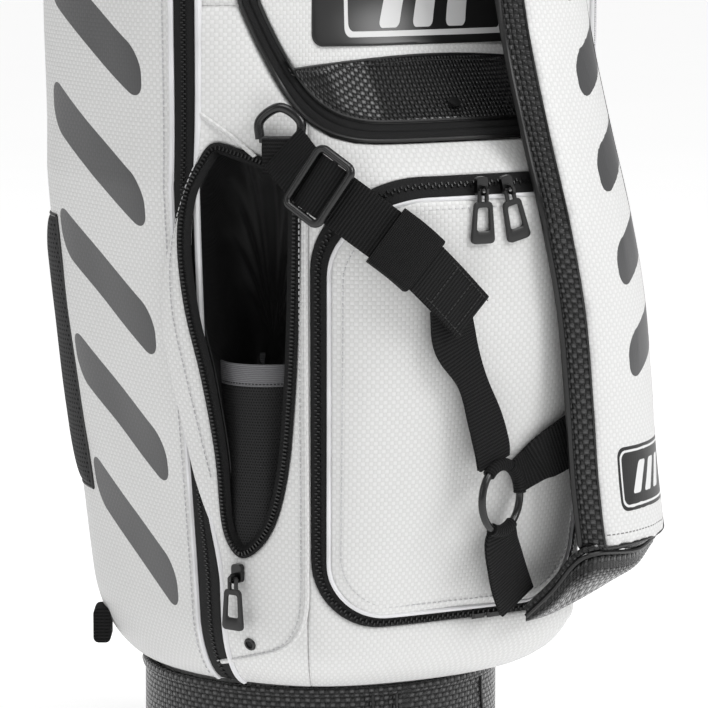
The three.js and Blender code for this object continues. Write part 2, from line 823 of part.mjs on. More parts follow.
// The padded part is curved across its width, from facing 10 degrees to facing 59 degrees.
const PAD_FACING = [10, 59];
const PAD_CURVE = STRAP_PAD.width / rad(PAD_FACING[1] - PAD_FACING[0]);
const padSection = ([x, y, z], outerDepth, innerDepth, inset = 0) => {
  const centre = vec([x, y, z]).addScaledVector(outward(PAD_FACING[0]), -PAD_CURVE);
  const trim = THREE.MathUtils.radToDeg(inset / PAD_CURVE);
  const arc = (depth) =>
    Array.from({ length: 5 }, (_, i) => {
      const facingHere = THREE.MathUtils.lerp(PAD_FACING[0] + trim, PAD_FACING[1] - trim, i / 4);
      return centre.clone().addScaledVector(outward(facingHere), PAD_CURVE - depth);
    });
  return [...arc(outerDepth), ...arc(innerDepth).reverse()];
};
const padLayer = (outerDepth, innerDepth, inset) =>
  loft(PAD_EDGE.map((p) => padSection(p, outerDepth, innerDepth, inset)));
place("strap_pad", padLayer(0, STRAP_PAD.foam, 0), WHITE);
const liningDepth = STRAP_PAD.foam + GAP;
place("strap_pad_lining", padLayer(liningDepth, liningDepth + STRAP_PAD.lining, 2), BLACK_CLOTH);

const FLAP = [
  [86, -251, 193.5],
  [172, -188, 193.5],
  [49, -211, 152],
].map(vec);
const flapNormal = new THREE.Vector3()
  .crossVectors(FLAP[1].clone().sub(FLAP[0]), FLAP[2].clone().sub(FLAP[0]))
  .normalize();
const flapDepth = flapNormal.y > 0 ? 7 : -7;
place(
  "strap_end_flap",
  loft([FLAP, FLAP.map((p) => p.clone().addScaledVector(flapNormal, flapDepth))]),
  CARBON,
);

const O_RING = { at: [12, -234, 240], r: 23.5, wire: 3, azimuth: 24 };
const ringBasis = new THREE.Matrix4().makeBasis(
  outward(O_RING.azimuth + 90),
  new THREE.Vector3(0, 0, 1),
  outward(O_RING.azimuth),
);
place(
  "o_ring",
  solid(
    new THREE.TorusGeometry(O_RING.r, O_RING.wire, 6, 24).applyMatrix4(
      ringBasis.setPosition(...O_RING.at),
    ),
  ),
  PLASTIC,
);

const WEB_THICK = 2.2;
const ADJUST = [
  [-122.8, -165, 485, -40],
  [-120.8, -187, 471, -40],
  [-113, -209, 458, -34],
  [-97, -232, 440, -20],
  [-71, -248, 417, -6],
  [-47, -250, 395, 0],
  [-22, -248, 371, 0],
];
place("adjuster_webbing", ribbon(ADJUST, STRAP_WEB, WEB_THICK), WEBBING);
const RING_UPPER = [
  [-50, -243, 387, -2],
  [-30, -242, 352, 0],
  [-16, -241, 325, 0],
  [-5, -240, 298, 0],
  [4, -238, 270.5, 8],
];
place("ring_webbing_upper", ribbon(RING_UPPER, [36, 34, 22, 26, 30], WEB_THICK), WEBBING);
const RING_RIGHT = [
  [39, -224, 258, 8],
  [53, -228, 265, 10],
  [76, -226, 275, 20],
  [98, -217, 283, 26],
];
place("ring_webbing_right", ribbon(RING_RIGHT, [26, 34, 38, 38], WEB_THICK), WEBBING);
const RING_LOWER = [
  [15, -228, 208.5, 10],
  [23, -223, 192, 10],
  [31, -217, 176, 10],
  [39, -213, 162, 10],
];
place("ring_webbing_lower", ribbon(RING_LOWER, [30, 34, 30, 24], WEB_THICK), WEBBING);
const TOP_WEB = [
  [84, -182, 708, 34],
  [92, -165, 745, 36],
  [97, -136, 795, 40],
  [96, -112, 827, 42],
];
place("upper_webbing", ribbon(TOP_WEB, STRAP_WEB, WEB_THICK), WEBBING);

// Hardware threaded on the adjuster webbing, each in the frame of its stretch.
function strapFrame(route, index, t) {
  const a = vec(route[index].slice(0, 3));
  const b = vec(route[index + 1].slice(0, 3));
  const azimuth = THREE.MathUtils.lerp(route[index][3], route[index + 1][3], t);
  const travel = b.clone().sub(a).normalize();
  const side = new THREE.Vector3().crossVectors(travel, outward(azimuth)).normalize();
  const face = new THREE.Vector3().crossVectors(side, travel).normalize();
  return new THREE.Matrix4().makeBasis(side, travel, face).setPosition(a.lerp(b, t));
}
const windowed = (width, height, depth, holes) => {
  const shape = roundedRectangle(width, height, 4);
  holes.forEach(([w, h, y]) => {
    const points = roundedRectangle(w, h, 1).getPoints(2);
    shape.holes.push(new THREE.Path(points.map((p) => new THREE.Vector2(p.x, p.y + y))));
  });
  return plate(shape, depth, new THREE.Matrix4(), [0, 0, 0]);
};
const raised = (manifold, lift, frame) =>
  inFrame(solid(geometryOf(manifold).translate(0, 0, lift)), frame);
const triGlide = windowed(50, 32, 3.6, [
  [40, 8, 7.5],
  [40, 8, -7.5],
]);
place("tri_glide", raised(triGlide, 4.2, strapFrame(ADJUST, 1, 0.6)), PLASTIC);
const KEEPER = { width: 45, length: 34, height: 13, wall: 1.6 };
const keeperLoop = box([KEEPER.width, KEEPER.length, KEEPER.height], [0, 0, 0]).subtract(
  box([KEEPER.width - 2 * KEEPER.wall, KEEPER.length + 9, KEEPER.height - 2 * KEEPER.wall], [0, 0, 0]),
);
place("webbing_keeper", raised(keeperLoop, -2.6, strapFrame(ADJUST, 4, 0.25)), WEBBING);

// Anchors that stay with the bag.
const anchorOut = outward(-40);
const anchorBar = vec(LOWER_ANCHOR);
const acrossAnchor = outward(50);
const anchorEnds = [-1, 1].map((s) => anchorBar.clone().addScaledVector(acrossAnchor, s * 17));
const anchorLoop = sweep(
  [
    anchorEnds[0].clone().addScaledVector(anchorOut, 1),
    anchorEnds[0].clone().add(new THREE.Vector3(0, 0, 14)),
    anchorBar.clone().add(new THREE.Vector3(0, 0, 21)),
    anchorEnds[1].clone().add(new THREE.Vector3(0, 0, 14)),
    anchorEnds[1].clone().addScaledVector(anchorOut, 1),
  ],
  2.6,
  16,
  8,
);
place("lower_anchor_loop", anchorLoop, PLASTIC);

const topAnchor = new THREE.Matrix4()
  .makeBasis(outward(-45), outward(45), new THREE.Vector3(0, 0, 1))
  .setPosition(...UPPER_ANCHOR);
place("upper_anchor_loop", inFrame(box([44, 5, 8], [0, 0, 3]), topAnchor), PLASTIC);

export default bag;
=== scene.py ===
"""A golf staff bag: white embossed vinyl pockets on a stiff barrel, a woven-look boot and collar,
an open bottle pocket, and one padded shoulder strap with its buckle, keeper and O-ring.
Sizes are in millimetres and angles in degrees, measured round the bag from its front."""
import math
import bmesh
import bpy
import numpy as np
from mathutils import Matrix, Vector, noise


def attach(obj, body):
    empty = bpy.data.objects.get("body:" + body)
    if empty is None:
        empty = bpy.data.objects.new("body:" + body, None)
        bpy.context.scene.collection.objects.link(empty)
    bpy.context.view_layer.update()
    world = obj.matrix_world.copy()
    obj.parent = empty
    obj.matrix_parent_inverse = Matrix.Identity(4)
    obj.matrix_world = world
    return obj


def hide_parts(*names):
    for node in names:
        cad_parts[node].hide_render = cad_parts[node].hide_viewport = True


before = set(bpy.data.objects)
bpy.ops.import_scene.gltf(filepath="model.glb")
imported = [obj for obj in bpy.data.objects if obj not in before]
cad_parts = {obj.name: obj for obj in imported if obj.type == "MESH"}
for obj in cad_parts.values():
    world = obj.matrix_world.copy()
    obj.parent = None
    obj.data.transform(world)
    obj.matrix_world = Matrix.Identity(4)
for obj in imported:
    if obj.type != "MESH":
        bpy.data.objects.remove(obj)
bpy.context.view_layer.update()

MM = 0.001
BAG_HEIGHT, BASE_R = 915, 131
BARREL_R, COLLAR_R, COLLAR_LOW, MOUTH_R = 119, 129, 852, 111
POCKET_LOW, POCKET_HIGH = 94, 742
APPAREL_EDGE, ZIP_EDGE, CENTRE_EDGE = 60, 55, 32
APPAREL_REAR = {"left": 150, "right": 143}
UPPER_LOW, UPPER_RISE, UPPER_HALF = 490, 94, 47
WELL_ANGLE, WELL_CENTRE, WELL_R = -43.5, 156, 34
PAD_WIDTH = 115
WEB_WIDTH, WEB_THICK = 38, 2.2
FLAT = (3.4, 1)  # millimetres to one degree round the bag, and to one up it
FLAT_LIFT = (*FLAT, 1)
STEP = 3.0  # between the points of a seam
STITCH, STITCH_PITCH = (2.9, 0.75, 0.6), 4.2


# ---- shader maths ----
class Wire:
    """One socket of a material. Arithmetic on it adds Math nodes."""

    def __init__(self, graph, socket):
        self.graph, self.socket = graph, socket

    def math(self, operation, *values):
        return self.graph.node("Math", {"operation": operation}, values)

    def __add__(self, other):
        return self.math("ADD", self, other)

    def __sub__(self, other):
        return self.math("SUBTRACT", self, other)

    def __rsub__(self, other):
        return self.math("SUBTRACT", other, self)

    def __mul__(self, other):
        return self.math("MULTIPLY", self, other)

    def __truediv__(self, other):
        return self.math("DIVIDE", self, other)

    def __pow__(self, other):
        return self.math("POWER", self, other)

    def __mod__(self, other):
        return self.math("FLOORED_MODULO", self, other)

    def __lt__(self, other):
        return self.math("LESS_THAN", self, other)

    def __gt__(self, other):
        return self.math("GREATER_THAN", self, other)

    def __abs__(self):
        return self.math("ABSOLUTE", self)

    __radd__, __rmul__ = __add__, __mul__

    def sine(self, period):
        return self.math("SINE", self * (2 * math.pi / period))

    def floor(self):
        return self.math("FLOOR", self)

    def at_least(self, other):
        return self.math("MAXIMUM", self, other)

    def at_most(self, other):
        return self.math("MINIMUM", self, other)


class Graph:
    """A material and the nodes in it."""

    def __init__(self, name):
        self.material = bpy.data.materials.new(name)
        self.material.use_nodes = True
        self.tree = self.material.node_tree

    def node(self, kind, settings=None, inputs=(), output=0):
        made = self.tree.nodes.new("ShaderNode" + kind)
        for key, value in (settings or {}).items():
            setattr(made, key, value)
        self.feed(made, dict(inputs) if isinstance(inputs, dict) else dict(enumerate(inputs)))
        return Wire(self, made.outputs[output])

    def feed(self, made, values):
        for key, value in values.items():
            if isinstance(value, Wire):
                self.tree.links.new(value.socket, made.inputs[key])
            else:
                made.inputs[key].default_value = value

    def cloth(self):
        """Millimetres across and along the cloth of a piece."""
        place = self.node("Attribute", {"attribute_name": "cloth"}, output="Vector")
        return [self.node("SeparateXYZ", None, (place,), axis) for axis in (0, 1)]

    def solid(self):
        """Millimetres across and up a moulded piece."""
        place = self.node("TexCoord", output="Object")
        x, y, z = (self.node("SeparateXYZ", None, (place,), axis) for axis in (0, 1, 2))
        return (x + y) * 1000, z * 1000

    def speckle(self, scale, detail=2.0):
        place = self.node("TexCoord", output="Object")
        return self.node("TexNoise", None, {"Vector": place, "Scale": scale, "Detail": detail})

    def mix(self, share, low, high):
        return self.node("Mix", {"data_type": "RGBA"}, {0: share, 6: low, 7: high}, 2)

    def bump(self, height, depth):
        """A normal from a height of 0 to 1 that stands for depth in millimetres."""
        return self.node("Bump", None, {"Strength": 1.0, "Distance": depth * MM, "Height": height})

    def finish(self, values):
        self.feed(self.tree.nodes["Principled BSDF"], values)
        return self.material


def grey(level, tint=0.0):
    return (level, level, level * (1 + tint), 1)


def basket(u, v, pitch):
    """A basket weave whose strands are pitch wide: its height, 0 to 1, and 1 where the strands run across."""
    a, b = u / pitch, v / pitch
    odd = (a.floor() + b.floor()) % 2
    across, along = (abs(x.math("SINE", x * math.pi)) for x in (a, b))
    strand = (across * (1 - odd) + along * odd) ** 0.5
    crown = across * odd + along * (1 - odd)
    return strand * (0.55 + 0.45 * crown), odd


def rounded_box(x, y, half_x, half_y, radius):
    """1 inside a rectangle with rounded corners centred on x = y = 0, and 0 outside."""
    out_x = (abs(x) - (half_x - radius)).at_least(0)
    out_y = (abs(y) - (half_y - radius)).at_least(0)
    return (out_x * out_x + out_y * out_y) < radius * radius


WEAVE = 2.9  # strand of the embossed weave
INK = grey(0.058, 0.03)


def vinyl(name, ink=None):
    """White coated cloth embossed with a fine basket weave; ink gives a mask of what is printed on it."""
    g = Graph(name)
    u, v = g.cloth()
    height, over = basket(u, v, WEAVE)
    soil = g.speckle(9.0, 4.0)
    # Painted shade: the weave's grooves are darker and its crowns lighter, and the cells whose strands run
    # across are lighter, for how light falls on the weave; the speckle is real soiling.
    white = g.mix(height * 0.4 + over * 0.35 + soil * 0.25, grey(0.54, -0.015), grey(0.72, -0.005))
    rough = 0.58 - 0.1 * height - 0.08 * over
    if ink:
        mask = ink(u, v)
        white = g.mix(mask, white, INK)
        rough = rough - 0.12 * mask
        height = height * (1 - 0.75 * mask)
    return g.finish({"Base Color": white, "Roughness": rough, "Specular IOR Level": 0.35,
                     "Normal": g.bump(height, 0.22)})


def carbon():
    """Glossy black coated cloth with a coarse basket weave."""
    g = Graph("carbon_weave")
    u, v = g.cloth()
    height, over = basket(u, v, WEAVE * 1.25)
    # Painted highlight: the crowns of the cells whose strands run across are lighter, for the light caught on
    # the weave.
    return g.finish({"Base Color": g.mix(height * over, grey(0.0012), grey(0.014, 0.04)),
                     "Roughness": 0.45 - 0.2 * height + 0.08 * g.speckle(14.0), "Specular IOR Level": 0.35,
                     "Coat Weight": height ** 2 * (0.15 + 0.85 * over), "Coat Roughness": 0.12,
                     "Normal": g.bump(height, 1.5)})


def webbing(name="webbing", rib=2.5, solid=False):
    """Black ribbed strap webbing: ribs across it, fine ends along it."""
    g = Graph(name)
    u, v = g.solid() if solid else g.cloth()
    ribs = 0.5 + 0.5 * v.sine(rib)
    ends = 0.5 + 0.5 * (u + rib * 0.3 * ribs).sine(1.35)
    height = ribs * 0.7 + ends * 0.3
    # Painted shade: the tops of the ribs and ends are lighter and the grooves between them darker.
    return g.finish({"Base Color": g.mix(height, grey(0.001), grey(0.010, 0.04)),
                     "Roughness": 0.86 - 0.25 * height, "Specular IOR Level": 0.2,
                     "Normal": g.bump(height, 0.8)})


def tape():
    """Zip tape: a fine herringbone."""
    g = Graph("zip_tape")
    u, v = g.cloth()
    twill = 0.5 + 0.5 * (v + abs((u % 3.0) - 1.5)).sine(1.1)
    # Painted shade: the twill's ridges are lighter and its grooves darker.
    return g.finish({"Base Color": g.mix(twill, grey(0.002), grey(0.012, 0.04)),
                     "Roughness": 0.8 - 0.15 * twill, "Specular IOR Level": 0.25,
                     "Normal": g.bump(twill, 0.2)})


def moulded(name, shade, roughness, grain=0.05):
    """Moulded plastic, rubber or plated metal with a fine grain and rubbed patches."""
    g = Graph(name)
    spots, wear = g.speckle(900.0, 3.0), g.speckle(35.0, 4.0)
    return g.finish({"Base Color": g.mix(wear, grey(shade * 0.75), grey(shade * 1.25, 0.03)),
                     "Roughness": roughness - 0.08 + 0.16 * wear,
                     "Normal": g.bump(spots, grain)})


def metal(name, shade, roughness):
    g = Graph(name)
    wear = g.speckle(60.0, 5.0)
    return g.finish({"Base Color": g.mix(wear, grey(shade * 0.8), grey(shade * 1.2)),
                     "Metallic": 1.0, "Roughness": roughness - 0.1 + 0.2 * wear,
                     "Normal": g.bump(g.speckle(700.0), 0.03)})


def satin(name="satin_lining", solid=False):
    """Thin black lining with a fine warp and a soft shine."""
    g = Graph(name)
    u, _ = g.solid() if solid else g.cloth()
    warp = 0.5 + 0.5 * u.sine(0.9)
    creases = g.speckle(38.0, 3.0)
    # Painted shade: the colour follows the crease height, darker in the crease hollows and lighter on their
    # tops.
    return g.finish({"Base Color": g.mix(creases, grey(0.005), grey(0.02, 0.04)),
                     "Roughness": 0.42 + 0.15 * warp, "Normal": g.bump(warp * 0.15 + creases, 1.4)})


def mesh_cloth(name, hole, light=0.02):
    """Open knitted mesh: round holes in rows, painted dark as the shade seen through them."""
    g = Graph(name)
    u, v = g.cloth()
    row = (v / hole).floor() % 2
    a, b = ((u + row * (hole / 2)) % hole) - hole / 2, (v % hole) - hole / 2
    yarn = ((a * a + b * b) * (9.0 / (hole * hole))).at_most(1)
    # Painted shade: the holes are painted near black for the shade behind the mesh; the surface itself has no
    # real holes.
    return g.finish({"Base Color": g.mix(yarn, grey(0.001), grey(light, 0.03)),
                     "Roughness": 0.9 - 0.2 * yarn, "Specular IOR Level": 0.25,
                     "Normal": g.bump(yarn, 0.5)})


def elastic():
    """Grey woven elastic with lengthwise cords and a broken stripe."""
    g = Graph("grey_elastic")
    u, v = g.cloth()
    cords = 0.5 + 0.5 * v.sine(1.3)
    stripe = (abs(v - 3.2) < 0.5) * (u % 2.6 < 1.7)
    # Painted shade: the cords' tops are lighter and the grooves between them darker; the dark broken stripe
    # is the band's own pattern.
    corded = g.mix(cords, grey(0.10, 0.04), grey(0.21, 0.05))
    return g.finish({"Base Color": g.mix(stripe, corded, grey(0.02)),
                     "Roughness": 0.75 - 0.1 * cords, "Normal": g.bump(cords, 0.3)})


def slats(middle, half, thick, slope, first, gap, top):
    """A column of slanting bars with rounded ends, between heights first and top."""
    def mask(u, v):
        x = u - middle
        y = v - x * slope
        bar = rounded_box(x, ((y - first) % gap) - gap / 2, half, thick / 2, thick * 0.42)
        return bar * (first < y) * (y < top)
    return mask


def sign(u_middle, v_middle, half_u, half_v):
    """Masks of a rounded dark sign: its plate, and the light line and three bars on it."""
    def masks(u, v):
        x, y = u - u_middle, v - v_middle
        edge = min(half_u, half_v)
        plate = rounded_box(x, y, half_u, half_v, edge * 0.32)
        line = (rounded_box(x, y, half_u * 0.94, half_v - half_u * 0.06, edge * 0.27)
                - rounded_box(x, y, half_u * 0.90, half_v - half_u * 0.10, edge * 0.24))
        lean = x - y * 0.45
        bars = rounded_box((lean + half_u * 0.6) % (half_u * 0.4) - half_u * 0.2, y,
                           half_u * 0.12, half_v * 0.5, half_u * 0.05) * (abs(lean) < half_u * 0.6)
        return plate, (line + bars).at_most(1)
    return masks


SIGN_HALF = 100


def sign_plate():
    """The dark sewn plate on the upper pocket, with a light line inside its edge and plain bars."""
    g = Graph("sign_plate")
    u, v = g.cloth()
    _, light = sign(0, 576, SIGN_HALF, 24)(u, v)
    return g.finish({"Base Color": g.mix(light, grey(0.012), grey(0.62)),
                     "Roughness": 0.32 + 0.2 * light, "Normal": g.bump(light, 0.4)})


def pad_vinyl():
    """The strap's white face, printed with slanting bars and a small dark sign near its end."""
    g = Graph("strap_vinyl")
    u, v = g.cloth()
    height, over = basket(u, v, WEAVE)
    plate, light = sign(62, 47, 42, 23)(u, v)
    ink = slats(78, 36, 32, 0.42, 112, 66, 500)(u, v)
    hem = (abs(v - 9) < 0.45) * (u % 4.2 < 2.7)
    # Painted shade: the weave's grooves are darker and its crowns lighter, and the cells whose strands run
    # across are lighter, for how light falls on the weave; the hem line is real stitching.
    base = g.mix(hem, g.mix(height * 0.6 + over * 0.4, grey(0.57, -0.01), grey(0.71, -0.005)), grey(0.14))
    shown = g.mix(light, g.mix(plate, g.mix(ink, base, INK), grey(0.004)), grey(0.68))
    printed = (ink + plate).at_most(1)
    return g.finish({"Base Color": shown, "Roughness": 0.5 - 0.12 * printed, "Specular IOR Level": 0.35,
                     "Normal": g.bump(height * (1 - 0.75 * printed), 0.16)})


# ---- the bag's outer skin ----
def superellipse(phi, a, b):
    return (np.abs(np.sin(phi) / a) ** 4 + np.abs(np.cos(phi) / b) ** 4) ** -0.25


def skin(angle, z):
    """Radius of the outer skin at angles and heights."""
    angle, z = np.broadcast_arrays(np.asarray(angle, float), np.asarray(z, float))
    phi = np.radians(angle)
    rise = np.sin(np.pi / 2 * np.clip((z - 60) / 540, 0, 1))
    side_reach = 126 + 62 * rise ** 1.35
    bend = 5 * np.logaddexp(0, (z - 458) / 5)
    front_reach = np.maximum(20, 233 - 45 * np.clip((458 - z) / 308, 0, 1) ** 1.8 - 1.05 * bend)
    front_width = np.where(z > 458, 130 * np.maximum(0.15, front_reach / 233), 130)
    sides = superellipse(phi, side_reach, 140)
    front = superellipse(phi, front_width, np.where(np.cos(phi) < 0, 100, front_reach))
    full = (sides ** 6 + front ** 6) ** (1 / 6)
    low = BASE_R + (full - BASE_R) * np.sqrt(1 - np.clip((150 - z) / 56, 0, 1) ** 2)
    high = 122 + (full - 122) * np.sqrt(1 - np.clip((z - 700) / 46, 0, 1) ** 2)
    return np.where(z < 150, low, np.where(z > 700, high, full))


def run_along(path):
    """The distance of each point of a path from its start, along it."""
    return np.concatenate([[0], np.cumsum(np.linalg.norm(np.diff(path, axis=0), axis=1))])


def squared_off(wave, power):
    """A sine or cosine with its peaks broadened, for the rounded-box outline of a cushion."""
    return np.sign(wave) * np.abs(wave) ** power


def around(angle, radius, z):
    phi = np.radians(np.asarray(angle, float))
    z = np.asarray(z, float)
    return np.stack(np.broadcast_arrays(radius * np.sin(phi), -radius * np.cos(phi), z), -1)


def spot(angle, z, lift=0.0):
    """Points on the skin, or lift millimetres off it."""
    return around(angle, skin(angle, z) + lift, z)


def outward(azimuth):
    return np.array([math.sin(math.radians(azimuth)), -math.cos(math.radians(azimuth)), 0.0])


def unit(v):
    return v / np.maximum(np.linalg.norm(v, axis=-1, keepdims=True), 1e-9)


def skin_normal(angle, z):
    across = spot(angle + 0.5, z) - spot(angle - 0.5, z)
    up = spot(angle, np.asarray(z, float) + 1.5) - spot(angle, np.asarray(z, float) - 1.5)
    return unit(np.cross(across, up))


ARC_ANGLES = np.linspace(-180, 180, 721)
ARC = run_along(spot(ARC_ANGLES, 320.0))


def cloth_across(angle):
    """Millimetres round the skin from its front."""
    return np.interp(angle, ARC_ANGLES, ARC) - ARC[len(ARC) // 2]


WHITE = vinyl("white_vinyl")
SIDE_BARS = slats(float(cloth_across(89)), 64, 36, 0.55, 150, 92, 720)
PRINTED = vinyl("printed_vinyl", lambda u, v: SIDE_BARS(abs(u), v))
CARBON, WEBBING, TAPE, SATIN = carbon(), webbing(), tape(), satin()
FINE_WEBBING, WEBBING_SOLID = webbing("keeper_webbing", 1.3), webbing("folded_webbing", 2.5, True)
DIVIDER_CLOTH = satin("divider_cloth", True)
PLASTIC = moulded("black_plastic", 0.005, 0.26)
PULL_PLASTIC = moulded("pull_plastic", 0.006, 0.42)
TEETH = moulded("zip_teeth", 0.005, 0.34)
RUBBER = moulded("rubber", 0.012, 0.85, 0.2)
FOAM = moulded("foam", 0.02, 0.95, 0.5)
PIPING = moulded("white_piping", 0.66, 0.42, 0.04)
BLACK_PIPING = moulded("black_piping", 0.003, 0.42, 0.08)
THREAD = moulded("white_thread", 0.5, 0.7)
BLACK_THREAD = moulded("black_thread", 0.02, 0.7)
METAL = metal("dark_metal", 0.05, 0.3)
SLEEVE, AIR_MESH = mesh_cloth("sleeve_mesh", 2.0), mesh_cloth("air_mesh", 3.4, 0.03)
BAND, SIGN, PAD_FACE = elastic(), sign_plate(), pad_vinyl()


def sweep_up(angle, start, half):
    return np.clip((np.abs(angle) - start) / (half - start), 0, 1) ** 2.8


def side_top(angle):
    """Top seam of the side panels: level in front, sweeping up to the sides."""
    return UPPER_LOW - 3 + UPPER_RISE * sweep_up(angle, 17, UPPER_HALF)


def spline(points, step, closed=False):
    """A smooth curve through rows of numbers, resampled about every step of its first three columns."""
    p = np.asarray(points, float)
    ends = [p[-1:], p, p[:2]] if closed else [2 * p[:1] - p[1:2], p, 2 * p[-1:] - p[-2:-1]]
    q = np.concatenate(ends)
    t = np.linspace(0, 1, 12, endpoint=False)[:, None]
    parts = []
    for a, b, c, d in zip(q, q[1:], q[2:], q[3:]):
        parts.append(0.5 * (2 * b + (c - a) * t + (2 * a - 5 * b + 4 * c - d) * t ** 2
                            + (3 * b - a - 3 * c + d) * t ** 3))
    return resample(np.concatenate(parts + [p[:1] if closed else p[-1:]]), step)


def resample(path, step):
    length = run_along(path[:, :3])
    count = max(2, int(round(length[-1] / step)) + 1)
    even = np.linspace(0, length[-1], count)
    return np.stack([np.interp(even, length, column) for column in path.T], -1)


def surface_line(points):
    """A smooth line of [angle, z] or [angle, z, lift] rows, as [angle, z, lift] rows evenly spaced."""
    rows = np.asarray(points, float)
    if rows.shape[1] == 2:
        rows = np.column_stack([rows, np.zeros(len(rows))])
    return spline(rows * FLAT_LIFT, STEP) / FLAT_LIFT


# ---- gathering faces into pieces ----
class Piece:
    """Faces gathered for one object, with cloth coordinates for its weave."""

    def __init__(self):
        self.points, self.cloth, self.faces, self.looks, self.count = [], [], [], [], 0

    def add(self, points, faces, cloth=None, look=0):
        points = np.asarray(points, float).reshape(-1, 3)
        cloth = np.zeros((len(points), 2)) if cloth is None else np.asarray(cloth, float).reshape(-1, 2)
        self.points.append(points)
        self.cloth.append(cloth)
        self.faces += (np.asarray(faces) + self.count).tolist()
        self.looks += [look] * len(faces)
        self.count += len(points)

    def grid(self, points, cloth=None, wrap=False, look=0):
        """A grid of points [rows, columns, 3]; wrap joins the last column to the first."""
        rows, columns = points.shape[:2]
        i, j = np.meshgrid(np.arange(rows - 1), np.arange(columns if wrap else columns - 1), indexing="ij")
        k = (j + 1) % columns
        quads = np.stack([i * columns + j, i * columns + k, (i + 1) * columns + k, (i + 1) * columns + j], -1)
        self.add(points, quads.reshape(-1, 4), cloth, look)

    def tube(self, path, radius, sides=8, closed=False, look=0, squeeze=(1.0, 1.0), up=None):
        """A round or squeezed tube along a path; up, a vector or one per point, sets its flat side."""
        path = np.asarray(path, float)
        n = len(path)
        ahead = np.roll(path, -1, 0) - np.roll(path, 1, 0) if closed else np.gradient(path, axis=0)
        ahead = unit(ahead)
        up = np.tile([0.13, 0.21, 0.97], (n, 1)) if up is None else np.broadcast_to(up, (n, 3))
        side = unit(np.cross(ahead, up))
        face = np.cross(side, ahead)
        turn = 2 * np.pi * np.arange(sides) / sides
        radius = np.broadcast_to(radius, (n,))[:, None, None]
        ring = (side[:, None] * (np.cos(turn) * squeeze[0])[None, :, None]
                + face[:, None] * (np.sin(turn) * squeeze[1])[None, :, None])
        points = path[:, None] + ring * radius
        run = run_along(path)
        cloth = np.stack(np.broadcast_arrays((turn * radius[:, 0]), run[:, None]), -1)
        if closed:
            points, cloth = np.concatenate([points, points[:1]]), np.concatenate([cloth, cloth[-1:]])
        self.grid(points, cloth, wrap=True, look=look)
        if not closed:
            for end in (0, n - 1):
                self.add(points[end], [list(range(sides))], cloth[end], look)

    def blocks(self, centres, axes, size, look=0):
        """Small chamfered blocks at centres; axes [n, 3, 3] are the rows of each block's own frame."""
        corners = np.array([[x, y, z] for z in (-1, 1) for y in (-1, 1) for x in (-1, 1)], float) / 2
        corners[4:, :2] *= 0.72
        quads = np.array([[0, 2, 3, 1], [4, 5, 7, 6], [0, 1, 5, 4], [2, 6, 7, 3], [0, 4, 6, 2], [1, 3, 7, 5]])
        points = np.asarray(centres)[:, None] + np.einsum("kc,ncd->nkd", corners * size, axes)
        faces = (quads[None] + 8 * np.arange(len(points))[:, None, None]).reshape(-1, 4)
        self.add(points, faces, None, look)

    def lathe(self, outline, x=0.0, y=0.0, sides=128, look=0):
        """A turned body from a [radius, height] outline."""
        outline = np.asarray(outline, float)
        run = run_along(outline)
        angle = 360 * np.arange(sides) / sides
        points = around(angle[None], outline[:, :1], outline[:, 1:]) + (x, y, 0)
        cloth = np.stack(np.broadcast_arrays(np.radians(angle)[None] * outline[:, 0].max(), run[:, None]), -1)
        self.grid(points, cloth, wrap=True, look=look)

    def make(self, name, body, looks, replaces=()):
        mesh = bpy.data.meshes.new(name)
        mesh.from_pydata((np.concatenate(self.points) * MM).tolist(), [], self.faces)
        cloth = np.concatenate(self.cloth)
        attribute = mesh.attributes.new("cloth", "FLOAT_VECTOR", "POINT")
        attribute.data.foreach_set("vector", np.column_stack([cloth, np.zeros(len(cloth))]).ravel())
        for material in looks:
            mesh.materials.append(material)
        mesh.polygons.foreach_set("material_index", self.looks)
        tidy = bmesh.new()
        tidy.from_mesh(mesh)
        bmesh.ops.remove_doubles(tidy, verts=tidy.verts, dist=2e-6)
        bmesh.ops.recalc_face_normals(tidy, faces=tidy.faces)
        tidy.to_mesh(mesh)
        tidy.free()
        mesh.shade_smooth()
        mesh.set_sharp_from_angle(angle=math.radians(35))
        made = bpy.data.objects.new(name + "_skin" if replaces else name, mesh)
        bpy.context.scene.collection.objects.link(made)
        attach(made, body)
        if replaces:
            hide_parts(*replaces)
        return made


# ---- padded panels on the skin ----
def spread(count):
    """Shares from 0 to 1, closer together near both ends."""
    return 0.5 - 0.5 * np.cos(np.pi * np.arange(count + 1) / count)


def border_distance(points, wrap):
    """How far each point of a grid lies from the grid's borders, along the grid."""
    def from_ends(axis):
        steps = np.linalg.norm(np.diff(points, axis=axis), axis=-1)
        run = np.concatenate([np.zeros_like(np.take(steps, [0], axis)), np.cumsum(steps, axis)], axis)
        return np.minimum(run, np.take(run, [-1], axis) - run)
    distance = from_ends(0)
    return distance if wrap else np.minimum(distance, from_ends(1))


def wrinkles(points, size, seed):
    flat = points.reshape(-1, 3) / size
    values = [noise.noise(Vector((x + seed, y, z))) for x, y, z in flat]
    return np.array(values).reshape(points.shape[:-1])


